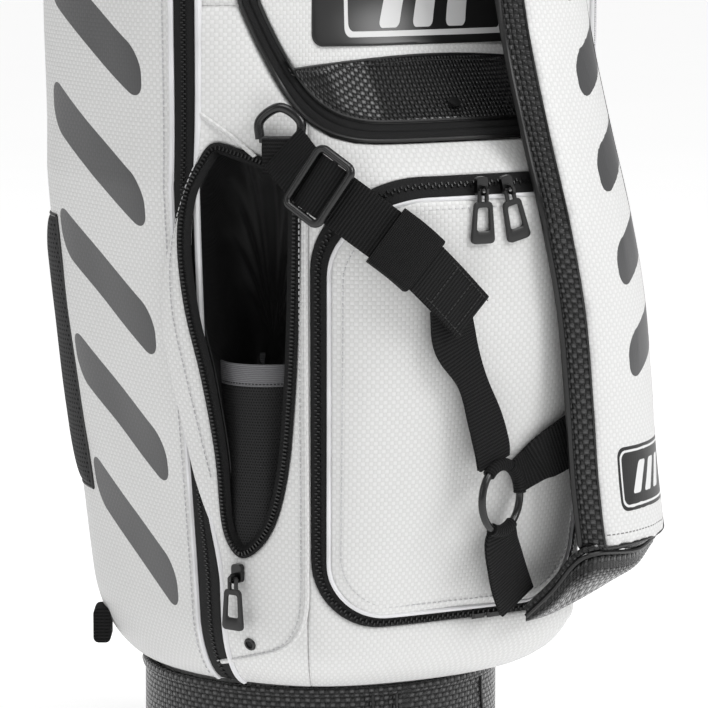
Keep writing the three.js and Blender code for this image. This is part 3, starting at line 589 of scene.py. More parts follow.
def panel(piece, angle, z, lift=0.0, puff=1.6, wrap=False, seed=0.0, hem=2.4, ease=1.0):
    """A padded panel of vinyl over a grid of angles and heights, with its edges rolled under."""
    flat = spot(angle, z)
    distance = border_distance(flat, wrap)
    height = lift + puff * (1 - np.exp(-distance / 14)) - hem * np.exp(-distance / 1.6)
    height = height + ease * wrinkles(flat, 70.0, seed) * np.clip(distance / 25, 0, 1)
    points = around(angle, skin(angle, z) + height, z)
    cloth = np.stack(np.broadcast_arrays(cloth_across(angle), z), -1)
    under = around(angle, skin(angle, z) + height - 4.5, z)
    rows = [under[:1], points, under[-1:]]
    flats = [cloth[:1], cloth, cloth[-1:]]
    points, cloth = np.concatenate(rows), np.concatenate(flats)
    if not wrap:
        padded = np.pad(under, ((1, 1), (0, 0), (0, 0)), mode="edge")
        points = np.concatenate([padded[:, :1], points, padded[:, -1:]], 1)
        cloth = np.concatenate([cloth[:, :1], cloth, cloth[:, -1:]], 1)
    piece.grid(points, cloth, wrap)


def field(low_angle, high_angle, low, high, step=3.0):
    """Grids of angle and height between two angles and two heights, which may be functions of the angle."""
    columns = max(6, int((high_angle - low_angle) * 3.3 / step))
    angle = low_angle + (high_angle - low_angle) * spread(columns)
    bottom = low(angle) if callable(low) else np.full(len(angle), float(low))
    top = high(angle) if callable(high) else np.full(len(angle), float(high))
    rows = max(6, int((top - bottom).max() / step))
    share = spread(rows)[:, None]
    return np.broadcast_to(angle, (rows + 1, len(angle))), bottom + (top - bottom) * share


def outline(corners):
    """A closed outline of [angle, z] rows: each side is a list of points, straight between them."""
    sides = [resample(np.array(side, float) * FLAT, STEP)[:-1] / FLAT for side in corners]
    return np.concatenate(sides)


def at_bearings(line, centre, bearings):
    """Points where rays at those bearings from a centre meet a closed outline."""
    gap = (line[:, :2] - centre) * FLAT
    own = np.arctan2(gap[:, 1], gap[:, 0])
    order = np.argsort(own)
    own = own[order]
    rows = line[order]
    return np.stack([np.interp(bearings, own, column, period=2 * np.pi) for column in rows.T], -1)


def ring_between(inner, outer, centre, rows):
    """Grids of angle, z and lift from an inner outline to an outer one; the outer one sets the columns."""
    gap = (outer[:, :2] - centre) * FLAT
    matched = at_bearings(inner, centre, np.arctan2(gap[:, 1], gap[:, 0]))
    share = spread(rows)[:, None, None]
    return matched[None] + (outer[None] - matched[None]) * share


def door_outline(half, low, high, bottom_corner, top_corner, step=3.0):
    """A door's outline: straight sides and quarter-ellipse corners, each given as (degrees, height)."""
    points = []
    for sx, sy, (wide, tall) in ((1, -1, bottom_corner), (1, 1, top_corner), (-1, 1, top_corner),
                                 (-1, -1, bottom_corner)):
        edge = high if sy > 0 else low
        turn = np.radians(np.linspace(0, 90, 16))
        if sx * sy < 0:
            turn = turn[::-1]
        points.append(np.stack([sx * (half - wide + wide * np.cos(turn)),
                                edge - sy * tall + sy * tall * np.sin(turn)], -1))
    path = np.concatenate(points + [points[0][:1]])
    return resample(path * FLAT, step)[:-1] / FLAT


def lifted(line):
    """The line as [angle, z, lift] rows."""
    line = np.asarray(line, float)
    return line if line.shape[1] == 3 else np.column_stack([line, np.zeros(len(line))])


def laid(line, pitch, lift):
    """Points spaced evenly along a line of [angle, z, lift] rows, with their ahead, side and normal."""
    rows = resample(lifted(line) * FLAT_LIFT, pitch) / FLAT_LIFT
    centres = spot(rows[:, 0], rows[:, 1], rows[:, 2] + lift)
    ahead = unit(np.gradient(centres, axis=0))
    normal = skin_normal(rows[:, 0], rows[:, 1])
    return centres, ahead, unit(np.cross(normal, ahead)), normal


def stitches(piece, line, look, lift=0.5):
    """A row of stitches along a line of [angle, z, lift] rows."""
    centres, ahead, side, normal = laid(line, STITCH_PITCH, lift)
    piece.blocks(centres, np.stack([ahead, side, normal], 1), STITCH, look)


def teeth(piece, line, look, pitch=2.0, size=(3.2, 1.2, 1.5), stagger=1.0, lift=0.4):
    """Zip teeth along a line of [angle, z, lift] rows, set in turn to either side of it."""
    centres, ahead, side, normal = laid(line, pitch, lift)
    shift = np.where(np.arange(len(centres)) % 2 == 0, stagger, -stagger)[:, None]
    piece.blocks(centres + side * shift, np.stack([side, ahead, normal], 1), size, look)


def bead(piece, line, radius, look, lift=0.0, closed=False):
    """Piping laid on the skin along a line of [angle, z, lift] rows."""
    rows = resample(lifted(line) * FLAT_LIFT, STEP) / FLAT_LIFT
    path = spot(rows[:, 0], rows[:, 1], rows[:, 2] + lift)
    piece.tube(path[:-1] if closed else path, radius, 8, closed, look)


# ---- sewn body ----
LOOKS = [WHITE, PIPING, THREAD, BLACK_PIPING]
MOUTH = [[-47, 196, 0], [-50.6, 216, 2], [-51.2, 267, 6], [-53.3, 322, 10], [-56, 370, 13], [-57.3, 415, 12],
         [-56.4, 450, 8.5], [-53.8, 474, 3.5], [-51.3, 486, 0], [-46, 482, 0], [-40, 475.5, 0],
         [-35.2, 467, 0], [-33.4, 449, 0], [-33.3, 415, 0], [-33.7, 360, 0], [-34.4, 311, 0],
         [-35.7, 262, 0], [-38.2, 225, 0], [-42.2, 203, 0]]
MOUTH_MIDDLE = (-44.5, 340)
DOOR = {"half": 28, "low": 156, "high": 451, "bottom": (12, 40), "top": (17, 52)}
DOOR_ZIP = {"half": 31.3, "low": 148, "high": 466, "bottom": (14, 50), "top": (19, 64)}
LIP_LOW, LIP_HIGH, LIP_BULGE = 232, 452, 8.8


def mouth_line(inset=0.0, step=3.0):
    """The bottle pocket's edge as [angle, z, lift] rows, closed; inset moves it towards the middle."""
    rows = spline(np.array(MOUTH, float) * FLAT_LIFT, step, closed=True)
    gap = rows[:, :2] - np.array(MOUTH_MIDDLE) * FLAT
    ahead = np.roll(rows, -1, 0)[:, :2] - np.roll(rows, 1, 0)[:, :2]
    inward = np.stack([ahead[:, 1], -ahead[:, 0]], -1)
    inward = unit(inward * -np.sign((inward * gap).sum(1, keepdims=True)))
    rows[:, :2] += inward * inset
    return (rows / FLAT_LIFT)[:-1]


LOW_EDGE = 51.8  # where the left zip lane widens, near the boot


def lane_edge(z):
    """Angle of the bottle panel's edge beside the left zip lane."""
    return ZIP_EDGE + (LOW_EDGE - ZIP_EDGE) * (0.5 - 0.5 * np.cos(np.pi * np.clip((245 - z) / 75, 0, 1)))


def side_outline():
    """Outline of the bottle panel below the level where only its strip beside the zip goes on."""
    sweep = [[-a, float(side_top(a))] for a in np.linspace(CENTRE_EDGE, UPPER_HALF, 12)]
    top = sweep[-1][1]
    side = [[-lane_edge(z), z] for z in np.linspace(top, POCKET_LOW, 60)]
    return outline([side, [side[-1], [-CENTRE_EDGE, POCKET_LOW]],
                    [[-CENTRE_EDGE, POCKET_LOW], sweep[0]], sweep, [sweep[-1], side[0]]])


def lip_bulge(z):
    return LIP_BULGE * np.sin(np.pi * np.clip((z - LIP_LOW) / (LIP_HIGH - LIP_LOW), 0, 1))


WELT = [[-32, 470], [-32, 400], [-32, 300], [-32, 200], [-32.4, 160], [-34.5, 141], [-38, 131], [-44.7, 123],
        [-50.5, 117.5], [-54.6, 114]]
SLANT_WELT = [[-54.4, 507], [-48.5, 493], [-42.6, 477.5]]


def bottle_panel():
    piece = Piece()
    edge = side_outline()
    outer = np.column_stack([edge, np.zeros(len(edge))])
    grid = ring_between(mouth_line(), outer, MOUTH_MIDDLE, 22)
    share = spread(22)[:, None]
    left = np.clip((-50 - outer[:, 0]) / 4, 0, 1) * 4 * share * (1 - share)
    grid[..., 0] -= left * lip_bulge(grid[0, :, 1])
    panel(piece, grid[..., 0], grid[..., 1], grid[..., 2], 1.2, wrap=True, seed=3.0)
    top = float(side_top(UPPER_HALF))
    angle, z = field(-ZIP_EDGE, -UPPER_HALF, top, POCKET_HIGH)
    panel(piece, angle, z, seed=4.0)
    bead(piece, surface_line(WELT), 1.9, 0, lift=0.7)
    bead(piece, surface_line(SLANT_WELT), 1.7, 0, lift=1.0)
    stitches(piece, surface_line(np.array(WELT) + (-1.3, 0)), 2, 1.6)
    lip = grid[5, :, :][(outer[:, 0] < -54) & (grid[0, :, 1] > 205) & (grid[0, :, 1] < 478)]
    stitches(piece, lip, 2, 1.9)
    piece.make("bottle_pocket_panel", "bag", LOOKS, ["bottle_pocket_panel"])


def right_panel():
    piece = Piece()
    top = float(side_top(UPPER_HALF))
    angle, z = field(CENTRE_EDGE, ZIP_EDGE, POCKET_LOW, lambda a: side_top(np.minimum(a, UPPER_HALF)))
    panel(piece, angle, z, seed=5.0)
    angle, z = field(UPPER_HALF, ZIP_EDGE, top, POCKET_HIGH)
    panel(piece, angle, z, seed=6.0)
    bead(piece, surface_line([[32, 470], [32, 300], [32, 200], [32.4, 160], [35, 140], [44, 124], [54, 115]]),
         1.9, 0, lift=0.7)
    piece.make("right_side_panel", "bag", LOOKS, ["right_side_panel"])


def centre_body():
    piece = Piece()
    arch = [[a, float(side_top(a))] for a in np.linspace(-CENTRE_EDGE, CENTRE_EDGE, 15)]
    edge = outline([[[-CENTRE_EDGE, arch[0][1]], [-CENTRE_EDGE, POCKET_LOW]],
                    [[-CENTRE_EDGE, POCKET_LOW], [CENTRE_EDGE, POCKET_LOW]],
                    [[CENTRE_EDGE, POCKET_LOW], arch[-1]], arch[::-1]])
    inner = door_outline(*DOOR_ZIP.values())
    grid = ring_between(inner, edge, (0, 307), 14)
    panel(piece, grid[..., 0], grid[..., 1], 0.0, 0.9, wrap=True, seed=8.0, hem=1.6)
    piece.make("centre_pocket", "bag", LOOKS, ["centre_pocket"])


def door_width(z):
    """Half width of the centre door at a height."""
    def inset(gap, corner):
        wide, tall = corner
        return wide * (1 - np.sqrt(1 - np.clip(1 - gap / tall, 0, 0.995) ** 2))
    return DOOR["half"] - inset(z - DOOR["low"], DOOR["bottom"]) - inset(DOOR["high"] - z, DOOR["top"])


def centre_door():
    piece = Piece()
    z = DOOR["low"] + (DOOR["high"] - DOOR["low"]) * spread(110)
    angle = door_width(z)[:, None] * (2 * spread(60) - 1)[None]
    panel(piece, angle, np.broadcast_to(z[:, None], angle.shape), 0.4, 3.4, seed=9.0, hem=2.0, ease=1.6)
    rim = door_outline(*DOOR.values())
    bead(piece, np.vstack([rim, rim[:1]]), 1.6, 1, lift=0.5, closed=True)
    inset = rim * ((DOOR["half"] - 2.2) / DOOR["half"], 1)
    inset[:, 1] = 303.5 + (inset[:, 1] - 303.5) * 0.955
    stitches(piece, np.column_stack([inset, np.zeros(len(inset))]), 2, 2.6)
    piece.make("centre_pocket_door", "bag", LOOKS, ["centre_pocket_door"])


def tape_lane(piece, outer, inner, wrap, lips=0.7):
    """Zip tape between two matched lines of [angle, z]: two woven halves that meet in a shallow groove."""
    share = np.linspace(0, 1, 13)[:, None]
    grid = outer[None] + (inner[None] - outer[None]) * share[..., None]
    lift = 0.2 + lips * np.abs(np.sin(2 * np.pi * share)) ** 0.6 - 0.8 * (np.abs(share - 0.5) > 0.49)
    points = around(grid[..., 0], skin(grid[..., 0], grid[..., 1]) + lift, grid[..., 1])
    run = run_along(points[6])
    cloth = np.stack(np.broadcast_arrays(share * 14, run[None]), -1)
    piece.grid(points, cloth, wrap)


def centre_zip():
    piece = Piece()
    outer = door_outline(*DOOR_ZIP.values())
    inner = at_bearings(door_outline(*DOOR.values()), (0, 303),
                        np.arctan2(outer[:, 1] - 303, outer[:, 0] * 3.4))
    tape_lane(piece, outer, inner, True)
    chain = outer * 0.62 + inner * 0.38
    teeth(piece, np.vstack([chain, chain[:1]]), 1, 2.1, (2.8, 1.25, 1.5), 0.9, 1.1)
    ends = spot(np.array([5.5, 9.2]), 149.0, 1.6)
    normal = skin_normal(np.array([5.5, 9.2]), 149.0)
    side = np.broadcast_to(outward(98), (2, 3))
    piece.blocks(ends, np.stack([side, unit(np.cross(normal, side)), normal], 1), (12, 4.5, 2.2), 1)
    piece.make("centre_pocket_zip", "bag", [TAPE, TEETH], ["centre_pocket_zip"])


def upper_rim(half, low, start, top):
    """A U-shaped line of [angle, z] from its left top, round the front, to its right top."""
    angle = half * np.sin(np.linspace(-np.pi / 2, np.pi / 2, 70))
    sweep = np.column_stack([angle, low + (UPPER_LOW + UPPER_RISE - low) * sweep_up(angle, start, half)])
    rise = np.linspace(top, UPPER_LOW + UPPER_RISE, 50)[:-1]
    left = np.column_stack([np.full(49, -half), rise])
    return np.concatenate([left, sweep, left[::-1] * (-1, 1)])


ZIP_TOP = 736


def upper_zip():
    piece = Piece()
    outer, inner = upper_rim(46.6, 489.5, 17, ZIP_TOP), upper_rim(43, 501, 15, ZIP_TOP)
    tape_lane(piece, outer, inner, False, 1.5)
    for share, size in ((0.0, 1.5), (1.0, 1.2)):
        bead(piece, outer + (inner - outer) * share, size, 1, lift=0.8)
    piece.make("upper_pocket_zip", "bag", [TAPE, BLACK_PIPING], ["upper_pocket_zip"])


def upper_body():
    piece = Piece()
    low = 501
    rise = UPPER_LOW + UPPER_RISE - low
    angle, z = field(-43, 43, lambda a: low + rise * sweep_up(a, 15, 43), POCKET_HIGH)
    panel(piece, angle, z, seed=12.0, puff=2.0)
    piece.make("upper_pocket", "bag", LOOKS, ["upper_pocket"])


BAND_HALF = 37


def woven_band():
    """The glossy woven band inside the lower bend of the upper zip."""
    piece = Piece()
    angle = BAND_HALF * (2 * spread(120) - 1)
    low = 502 + 82 * sweep_up(angle, 15, 43)
    high = np.maximum(low + 0.5, 545 - 9 * (angle / BAND_HALF) ** 2)
    share = spread(22)[:, None]
    z = low + (high - low) * share
    lift = 2.4 + 2.6 * np.sin(np.pi * share) ** 0.5 * np.ones_like(z)
    flat = spot(angle[None], z)
    steps = np.linalg.norm(np.diff(flat, axis=0), axis=2)
    run = np.concatenate([np.zeros((1, len(angle))), np.cumsum(steps, 0)])
    cloth = np.stack([np.broadcast_to(cloth_across(angle)[None], z.shape), run], -1)
    piece.grid(around(angle[None], skin(angle[None], z) + lift, z), cloth)
    for row, size in ((0, 1.1), (-1, 1.0)):
        line = np.column_stack([angle, z[row], np.zeros(len(angle))])
        bead(piece, line, size, 1, lift=2.6)
    line = np.column_stack([angle, z[-1] - 3.5, np.zeros(len(angle))])[8:-8]
    stitches(piece, line, 2, 4.2)
    piece.make("woven_band", "bag", [CARBON, BLACK_PIPING, BLACK_THREAD],
               ["woven_band"])


def front_sign():
    """The dark sewn plate on the upper pocket, with plain bars."""
    piece = Piece()
    half, low, high, corner = 31.5, 552, 600, 9
    z = low + (high - low) * spread(20)
    drop = np.clip(1 - np.minimum(z - low, high - z) / corner, 0, 1)
    angle = (half - corner / 3.4 * (1 - np.sqrt(1 - 0.99 * drop ** 2)))[:, None] * (2 * spread(60) - 1)[None]
    z = np.broadcast_to(z[:, None], angle.shape)
    flat = spot(angle, z)
    lift = 2.2 + 1.6 * (1 - np.exp(-border_distance(flat, False) / 0.8))
    cloth = np.stack([cloth_across(angle), z], -1)
    piece.grid(around(angle, skin(angle, z) + lift, z), cloth)
    piece.make("front_patch", "bag", [SIGN], ["front_patch"])


def rear_taper(angle, z, rear):
    """How far an apparel pocket's rear end draws in from the skin."""
    share = np.clip((np.abs(angle) - rear + 18) / 18, 0, 1) ** 2
    return share * (BASE_R + 6 - skin(angle, z))


def apparel_side(side, sign, look):
    """An apparel pocket, its long zip lane and the white piping on both sides of it."""
    pocket = Piece()
    rear = APPAREL_REAR[side]
    ends = sorted((sign * APPAREL_EDGE, sign * rear))
    angle, z = field(*ends, POCKET_LOW, POCKET_HIGH)
    panel(pocket, angle, z, rear_taper(angle, z, rear), 1.8, seed=20.0 + sign, ease=1.5)
    up = np.linspace(POCKET_LOW + 3, ZIP_TOP, 240)
    inner = lane_edge(up) if side == "left" else np.full(240, float(ZIP_EDGE))
    for edge, size in ((np.full(240, APPAREL_EDGE + 0.3), 2.1), (inner - 0.5, 2.5)):
        bead(pocket, np.column_stack([sign * edge, up]), size, 1, lift=0.6)
    stitches(pocket, np.column_stack([np.full(240, sign * (APPAREL_EDGE + 2.2)), up, np.zeros(240)]), 2, 1.9)
    name = f"{side}_apparel_pocket"
    pocket.make(name, "bag", [look, PIPING, THREAD], [name])
    lane = Piece()
    line = [np.column_stack([sign * edge, up]) for edge in (np.full(240, float(APPAREL_EDGE)), inner)]
    tape_lane(lane, *line, False)
    chain = (line[0] + line[1]) / 2
    teeth(lane, chain, 1, 1.7, (3.0, 1.05, 1.4), 0.8, 0.9)
    lane.make(f"{side}_apparel_zip", "bag", [TAPE, TEETH], [f"{side}_apparel_zip"])


def bottle_inside():
    """The lined pocket behind the mouth, its mesh sleeve and the elastic round the sleeve's top."""
    edge = mouth_line(1.0)
    count = len(edge)
    share = np.linspace(0, 1, 34)[:, None]
    shrink = np.cos(np.pi / 2 * share ** 1.3) ** 0.55
    depth = 74 * np.sin(np.pi / 2 * share) ** 0.9
    middle = np.array(MOUTH_MIDDLE)
    flat = middle + (edge[None, :, :2] - middle) * shrink[..., None]
    folds = 2.6 * np.sin(np.arange(count) * 0.55) * np.sin(np.pi * share) ** 0.6
    folds = folds * np.clip((flat[..., 1] - 330) / 90, 0.15, 1)
    radius = skin(flat[..., 0], flat[..., 1]) + edge[None, :, 2] * (1 - share) - depth + folds
    points = around(flat[..., 0], np.maximum(radius, BARREL_R + 3), flat[..., 1])
    run = run_along(edge[:, :2] * FLAT)
    lining = Piece()
    cloth = np.stack(np.broadcast_arrays(run[None], depth), -1)
    lining.grid(points, cloth, wrap=True)
    for inset in (9.0, 14.0):
        seam = mouth_line(inset * 0.35)
        path = spot(seam[:, 0], seam[:, 1], seam[:, 2] - inset)
        lining.tube(path, 0.8, 6, True, 0)
    lining.make("bottle_pocket_lining", "bag", [SATIN], ["bottle_pocket_lining"])

    x, y, _ = around(WELL_ANGLE, WELL_CENTRE, 0.0)
    angle = np.linspace(0, 360, 97)[:-1]
    height = np.linspace(190, 316, 60)[:, None]
    ripple = 0.7 * np.sin(np.radians(angle * 9)) * np.clip((316 - height) / 60, 0, 1)
    sleeve = Piece()
    radius = WELL_R - 1.2 + ripple
    flat = np.stack(np.broadcast_arrays(np.radians(angle)[None] * WELL_R, height), -1)
    sleeve.grid(around(angle[None], radius, height) + (x, y, 0), flat, wrap=True)
    sleeve.make("bottle_mesh_sleeve", "bag", [SLEEVE], ["bottle_mesh_sleeve"])
    cuff = Piece()
    cuff.lathe([(WELL_R - 2, 316.5), (WELL_R - 0.6, 316.2), (WELL_R - 0.2, 324), (WELL_R - 0.6, 331.8),
                (WELL_R - 2.2, 331.6), (WELL_R - 2.4, 324), (WELL_R - 2, 316.5)], x, y, 96)
    cuff.make("sleeve_elastic_band", "bag", [BAND], ["sleeve_elastic_band"])


def drain_eyelet():
    """A rolled metal eyelet round a dark disc, painted shade that stands in for its hole."""
    angle, z = -44.8, 133.0
    out = skin_normal(np.array(angle), z)
    across = unit(np.cross((0, 0, 1), out))
    turn = np.radians(np.arange(0, 360, 10))[:, None]
    rim = np.cos(turn) * across + np.sin(turn) * np.cross(out, across)
    place = spot(angle, z, 1.6)
    piece = Piece()
    piece.tube(place + rim * 3.7, 1.1, 8, True, 0, up=out)
    # A flat dark rubber disc just inside the rim: painted shade where the hole would be.
    piece.add(place + rim * 3.4 - out * 0.4, [list(range(len(turn)))], None, 1)
    piece.make("drain_eyelet", "bag", [METAL, RUBBER], ["drain_eyelet"])


def bottle_zip():
    """The open zip round the mouth: black tape turned in, with large moulded teeth on its edge."""
    piece = Piece()
    insets, drops = (-0.6, 1.2, 3.4, 5.6, 8.0), (0.4, 1.2, 0.9, -0.8, -4.5)
    rows = [mouth_line(inset) for inset in insets]
    points = np.stack([spot(r[:, 0], r[:, 1], r[:, 2] + drop) for r, drop in zip(rows, drops)])
    run = run_along(points[0])
    cloth = np.stack(np.broadcast_arrays(np.array(insets)[:, None], run[None]), -1)
    piece.grid(points, cloth, wrap=True)
    chain = mouth_line(3.0, 1.0)
    teeth(piece, np.vstack([chain, chain[:1]]), 1, 2.75, (3.6, 1.5, 2.2), 0.0, 1.7)
    piece.make("bottle_zip", "bag", [TAPE, TEETH], ["bottle_zip"])


# ---- barrel, boot, collar ----
def hard_shell():
    boot = Piece()
    boot.lathe([(0, 7.4), (122, 7.4), (126, 8.5), (129.5, 11), (BASE_R, 16), (BASE_R, 80),
                (BASE_R + 0.4, 84)])
    binding = [(BASE_R + 0.2, 84), (BASE_R + 1.6, 84.4), (BASE_R + 2.4, 87), (BASE_R + 1.6, 90.4),
               (BASE_R - 1, 91), (BASE_R - 3.5, 90), (BASE_R - 4, 84)]
    boot.lathe(binding, look=0)
    seam = np.linspace(0, 1, 30)[:, None]
    for angle, lean in ((-13, 6), (-5, 4), (34, 10), (196, 8)):
        path = around(angle + lean * seam[:, 0] ** 2, BASE_R + 0.5, 84 - 70 * seam[:, 0])
        boot.tube(path, 0.9, 8, look=1)
    boot.make("base_boot", "bag", [CARBON, BLACK_PIPING], ["base_boot"])

    sole = Piece()
    sole.lathe([(0, 0.4), (60, 0.4), (62, 0), (116, 0), (121, 0.6), (125, 3), (125.6, 5), (125, 7), (0, 7)])
    for radius in (30, 54, 78, 102):
        sole.lathe([(radius - 2.5, 0.5), (radius - 1.5, 0), (radius + 1.5, 0), (radius + 2.5, 0.5)])
    sole.make("sole_plate", "bag", [RUBBER], ["sole_plate"])

    barrel = Piece()
    inside = BARREL_R - 2.5
    barrel.lathe([(BARREL_R, 14), (BARREL_R, 740), (BARREL_R, 874), (inside, 874), (inside, 14)])
    hem = [(BARREL_R + 0.3, 740), (BARREL_R + 2.6, 742), (BARREL_R + 2.6, 748), (BARREL_R + 0.3, 750)]
    barrel.lathe(hem, look=1)
    barrel.make("barrel_shell", "bag", [WHITE, BLACK_PIPING], ["barrel_shell"])

    collar = Piece()
    low, top = COLLAR_LOW, BAG_HEIGHT
    collar.lathe([(BARREL_R + 0.4, low), (COLLAR_R - 2.5, low + 0.5), (COLLAR_R - 0.4, low + 4),
                  (COLLAR_R, low + 9), (COLLAR_R, top - 17)])
    turn = np.radians(np.linspace(-30, 180, 14))
    roll = [((COLLAR_R + MOUTH_R) / 2 + 9 * math.cos(a), top - 8.6 + 8.6 * math.sin(a)) for a in turn]
    collar.lathe([*roll, (MOUTH_R, top - 12), (MOUTH_R, 875)], look=1)
    for height in (low + 5, top - 15):
        collar.tube(around(np.linspace(0, 360, 161)[:-1], COLLAR_R + 0.2, height), 1.2, 8, True, 2)
    collar.make("top_collar", "bag", [CARBON, RUBBER, BLACK_PIPING], ["top_collar"])


def build_body():
    bottle_panel()
    right_panel()
    centre_body()
    centre_door()
    centre_zip()
    upper_zip()
    upper_body()
    woven_band()
    front_sign()
    apparel_side("left", -1, PRINTED)
    apparel_side("right", 1, PRINTED)
    bottle_inside()
    bottle_zip()
    drain_eyelet()
    hard_shell()


# ---- strap ----
PAD_LOW, PAD_TOP, PAD_CURVE, PAD_FACING = 200, 712, 134.5, (10, 59)
PAD_EDGE = [[87, -253, 200], [80, -253, 250], [74, -254, 310], [66, -256, 370], [52, -258, 430],
            [44, -240, 500], [39, -221, 570], [35, -212, 640], [33, -211, 712]]
PAD_CELL = 5.0  # the remeshed cloth's cell
GUSSET = {"front": 12.0, "low": 4.0, "back": 5.0, "corner": 3.5}
FLAP_EDGE = [(45, -215, 153), (60, -226.5, 172), (71, -238, 192), (82, -249, 200), (128, -229, 195),
             (170, -190, 195)]
RING_MIDDLE, RING_R, RING_FACING = (12, -234, 240), 23.5, 24
ADJUST = [[-122.8, -165, 485, -40], [-120.8, -187, 471, -40], [-113, -209, 458, -34], [-97, -232, 440, -20],
          [-71, -248, 417, -6], [-47, -250, 395, 0], [-22, -248, 371, 0]]
RING_UPPER = [[-37, -246.2, 378, -2, 31], [-30, -242, 352, 0, 34], [-16, -241, 325, 0, 23],
              [-5, -240, 298, 0, 27], [3, -237.5, 276, 8, 30], [6, -235, 265, 14, 31]]
RING_RIGHT = [[31, -227, 253, 12, 25], [42, -225, 258, 8, 28], [53, -228, 265, 10, 34],
              [76, -226, 275, 20, 38], [98, -217, 283, 26, 38]]
RING_LOWER = [[14, -233, 219, 16, 27], [16, -229, 207, 10, 30], [23, -223, 192, 10, 33],
              [31, -217, 176, 10, 35], [40, -212, 160, 10, 35]]
TOP_WEB = [[84, -182, 706, 34, 38], [92, -165, 745, 36, 38], [97, -136, 795, 40, 38],
           [96, -108, 834.5, 42, 37]]
LOWER_ANCHOR = np.array([-121.0, -158.0, 490.0])


def pad_at(across, z, depth):
    """A point of the strap's pad: millimetres from its front edge, height, and depth under its face."""
    across, z, depth = np.broadcast_arrays(*(np.asarray(v, float) for v in (across, z, depth)))
    edge = spline(PAD_EDGE, 4.0)
    x, y = (np.interp(z, edge[:, 2], edge[:, axis]) for axis in (0, 1))
    first, last = PAD_FACING
    facing = np.radians(first + (last - first) * across / PAD_WIDTH)
    start = outward(first) * PAD_CURVE
    reach = PAD_CURVE - depth
    return np.stack([x - start[0] + reach * np.sin(facing), y - start[1] - reach * np.cos(facing), z], -1)


def pad_cloth(points):
    """Cloth coordinates of points on the pad: across it, and up from its low end."""
    edge = spline(PAD_EDGE, 4.0)
    start = outward(PAD_FACING[0]) * PAD_CURVE
    height = points[:, 2]
    x, y = (points[:, axis] - np.interp(height, edge[:, 2], edge[:, axis]) + start[axis] for axis in (0, 1))
    facing = np.degrees(np.arctan2(x, -y))
    first, last = PAD_FACING
    return np.column_stack([(facing - first) / (last - first) * PAD_WIDTH, height - PAD_LOW])


def fill_out(made, pressure, most, held, cloth_of):
    """Closes a cushion's skin, blows it up as cloth that is sewn down where held says, and smooths it."""
    shape = made.modifiers.new("skin", "REMESH")
    shape.mode, shape.voxel_size = "VOXEL", PAD_CELL * MM
    skin_mesh = bpy.data.meshes.new_from_object(made.evaluated_get(bpy.context.evaluated_depsgraph_get()))
    made.modifiers.remove(shape)
    made.data = skin_mesh
    count = len(skin_mesh.vertices)
    start = np.empty(count * 3)
    skin_mesh.vertices.foreach_get("co", start)
    start = start.reshape(-1, 3)
    group = made.vertex_groups.new(name="sewn")
    group.add(np.flatnonzero(held(start / MM)).tolist(), 1.0, "REPLACE")
    cloth = made.modifiers.new("cloth", "CLOTH")
    cloth.settings.use_pressure = True
    cloth.settings.uniform_pressure_force = pressure
    cloth.settings.vertex_group_mass = group.name
    cloth.settings.effector_weights.gravity = 0
    cloth.point_cache.frame_end = 20
    scene = bpy.context.scene
    for step in range(1, 21):
        scene.frame_set(step)
    blown = made.evaluated_get(bpy.context.evaluated_depsgraph_get()).to_mesh()
    moved = np.empty(count * 3)
    blown.vertices.foreach_get("co", moved)
    shift = moved.reshape(-1, 3) - start
    made.modifiers.remove(cloth)
    scene.frame_set(1)
    length = np.linalg.norm(shift, axis=1, keepdims=True)
    start = start + shift * np.minimum(1, most * MM / np.maximum(length, 1e-9))
    skin_mesh.vertices.foreach_set("co", start.ravel())
    flat = cloth_of(start / MM)
    attribute = skin_mesh.attributes.new("cloth", "FLOAT_VECTOR", "POINT")
    attribute.data.foreach_set("vector", np.column_stack([flat, np.zeros(count)]).ravel())
    skin_mesh.shade_smooth()
    smooth = made.modifiers.new("smooth", "SUBSURF")
    smooth.levels = smooth.render_levels = 1


def cushion_grid(piece, place, across, up, depth, crown):
    """A closed cushion between two edges: its face, its sides and its back."""
    turn = np.linspace(0, 2 * np.pi, 73)[:-1]
    width, mid = across[1] - across[0], (across[1] + across[0]) / 2
    u = mid + width / 2 * squared_off(np.cos(turn), 0.32)
    face = np.sin(turn)
    swell = crown * np.maximum(face, 0) * (1 - (2 * (u - mid) / width) ** 2)
    d = depth / 2 - depth / 2 * squared_off(face, 0.32) - swell
    rows = up[0] + (up[1] - up[0]) * spread(100)
    points = place(u[None], rows[:, None], d[None] * np.ones((len(rows), 1)))
    middle = place(mid + 0 * u[None], rows[[0, -1], None], depth / 2 + 0 * d[None])
    cloth = np.stack(np.broadcast_arrays(u[None], rows[:, None] - up[0]), -1)
    points = np.concatenate([middle[:1], points, middle[1:]])
    piece.grid(points, np.concatenate([cloth[:1], cloth, cloth[-1:]]), wrap=True)


def strap_pad():
    cushion = Piece()
    cushion_grid(cushion, pad_at, (0.5, PAD_WIDTH), (PAD_LOW, PAD_TOP), 11.0, 2.5)
    made = cushion.make("strap_pad", "shoulder_strap", [PAD_FACE], ["strap_pad"])

    def held(points):
        u, v = pad_cloth(points).T
        return (u < 3) | (u > PAD_WIDTH - 3) | (v < 4) | (v > PAD_TOP - PAD_LOW - 4)
    fill_out(made, 4.0, 4.0, held, pad_cloth)


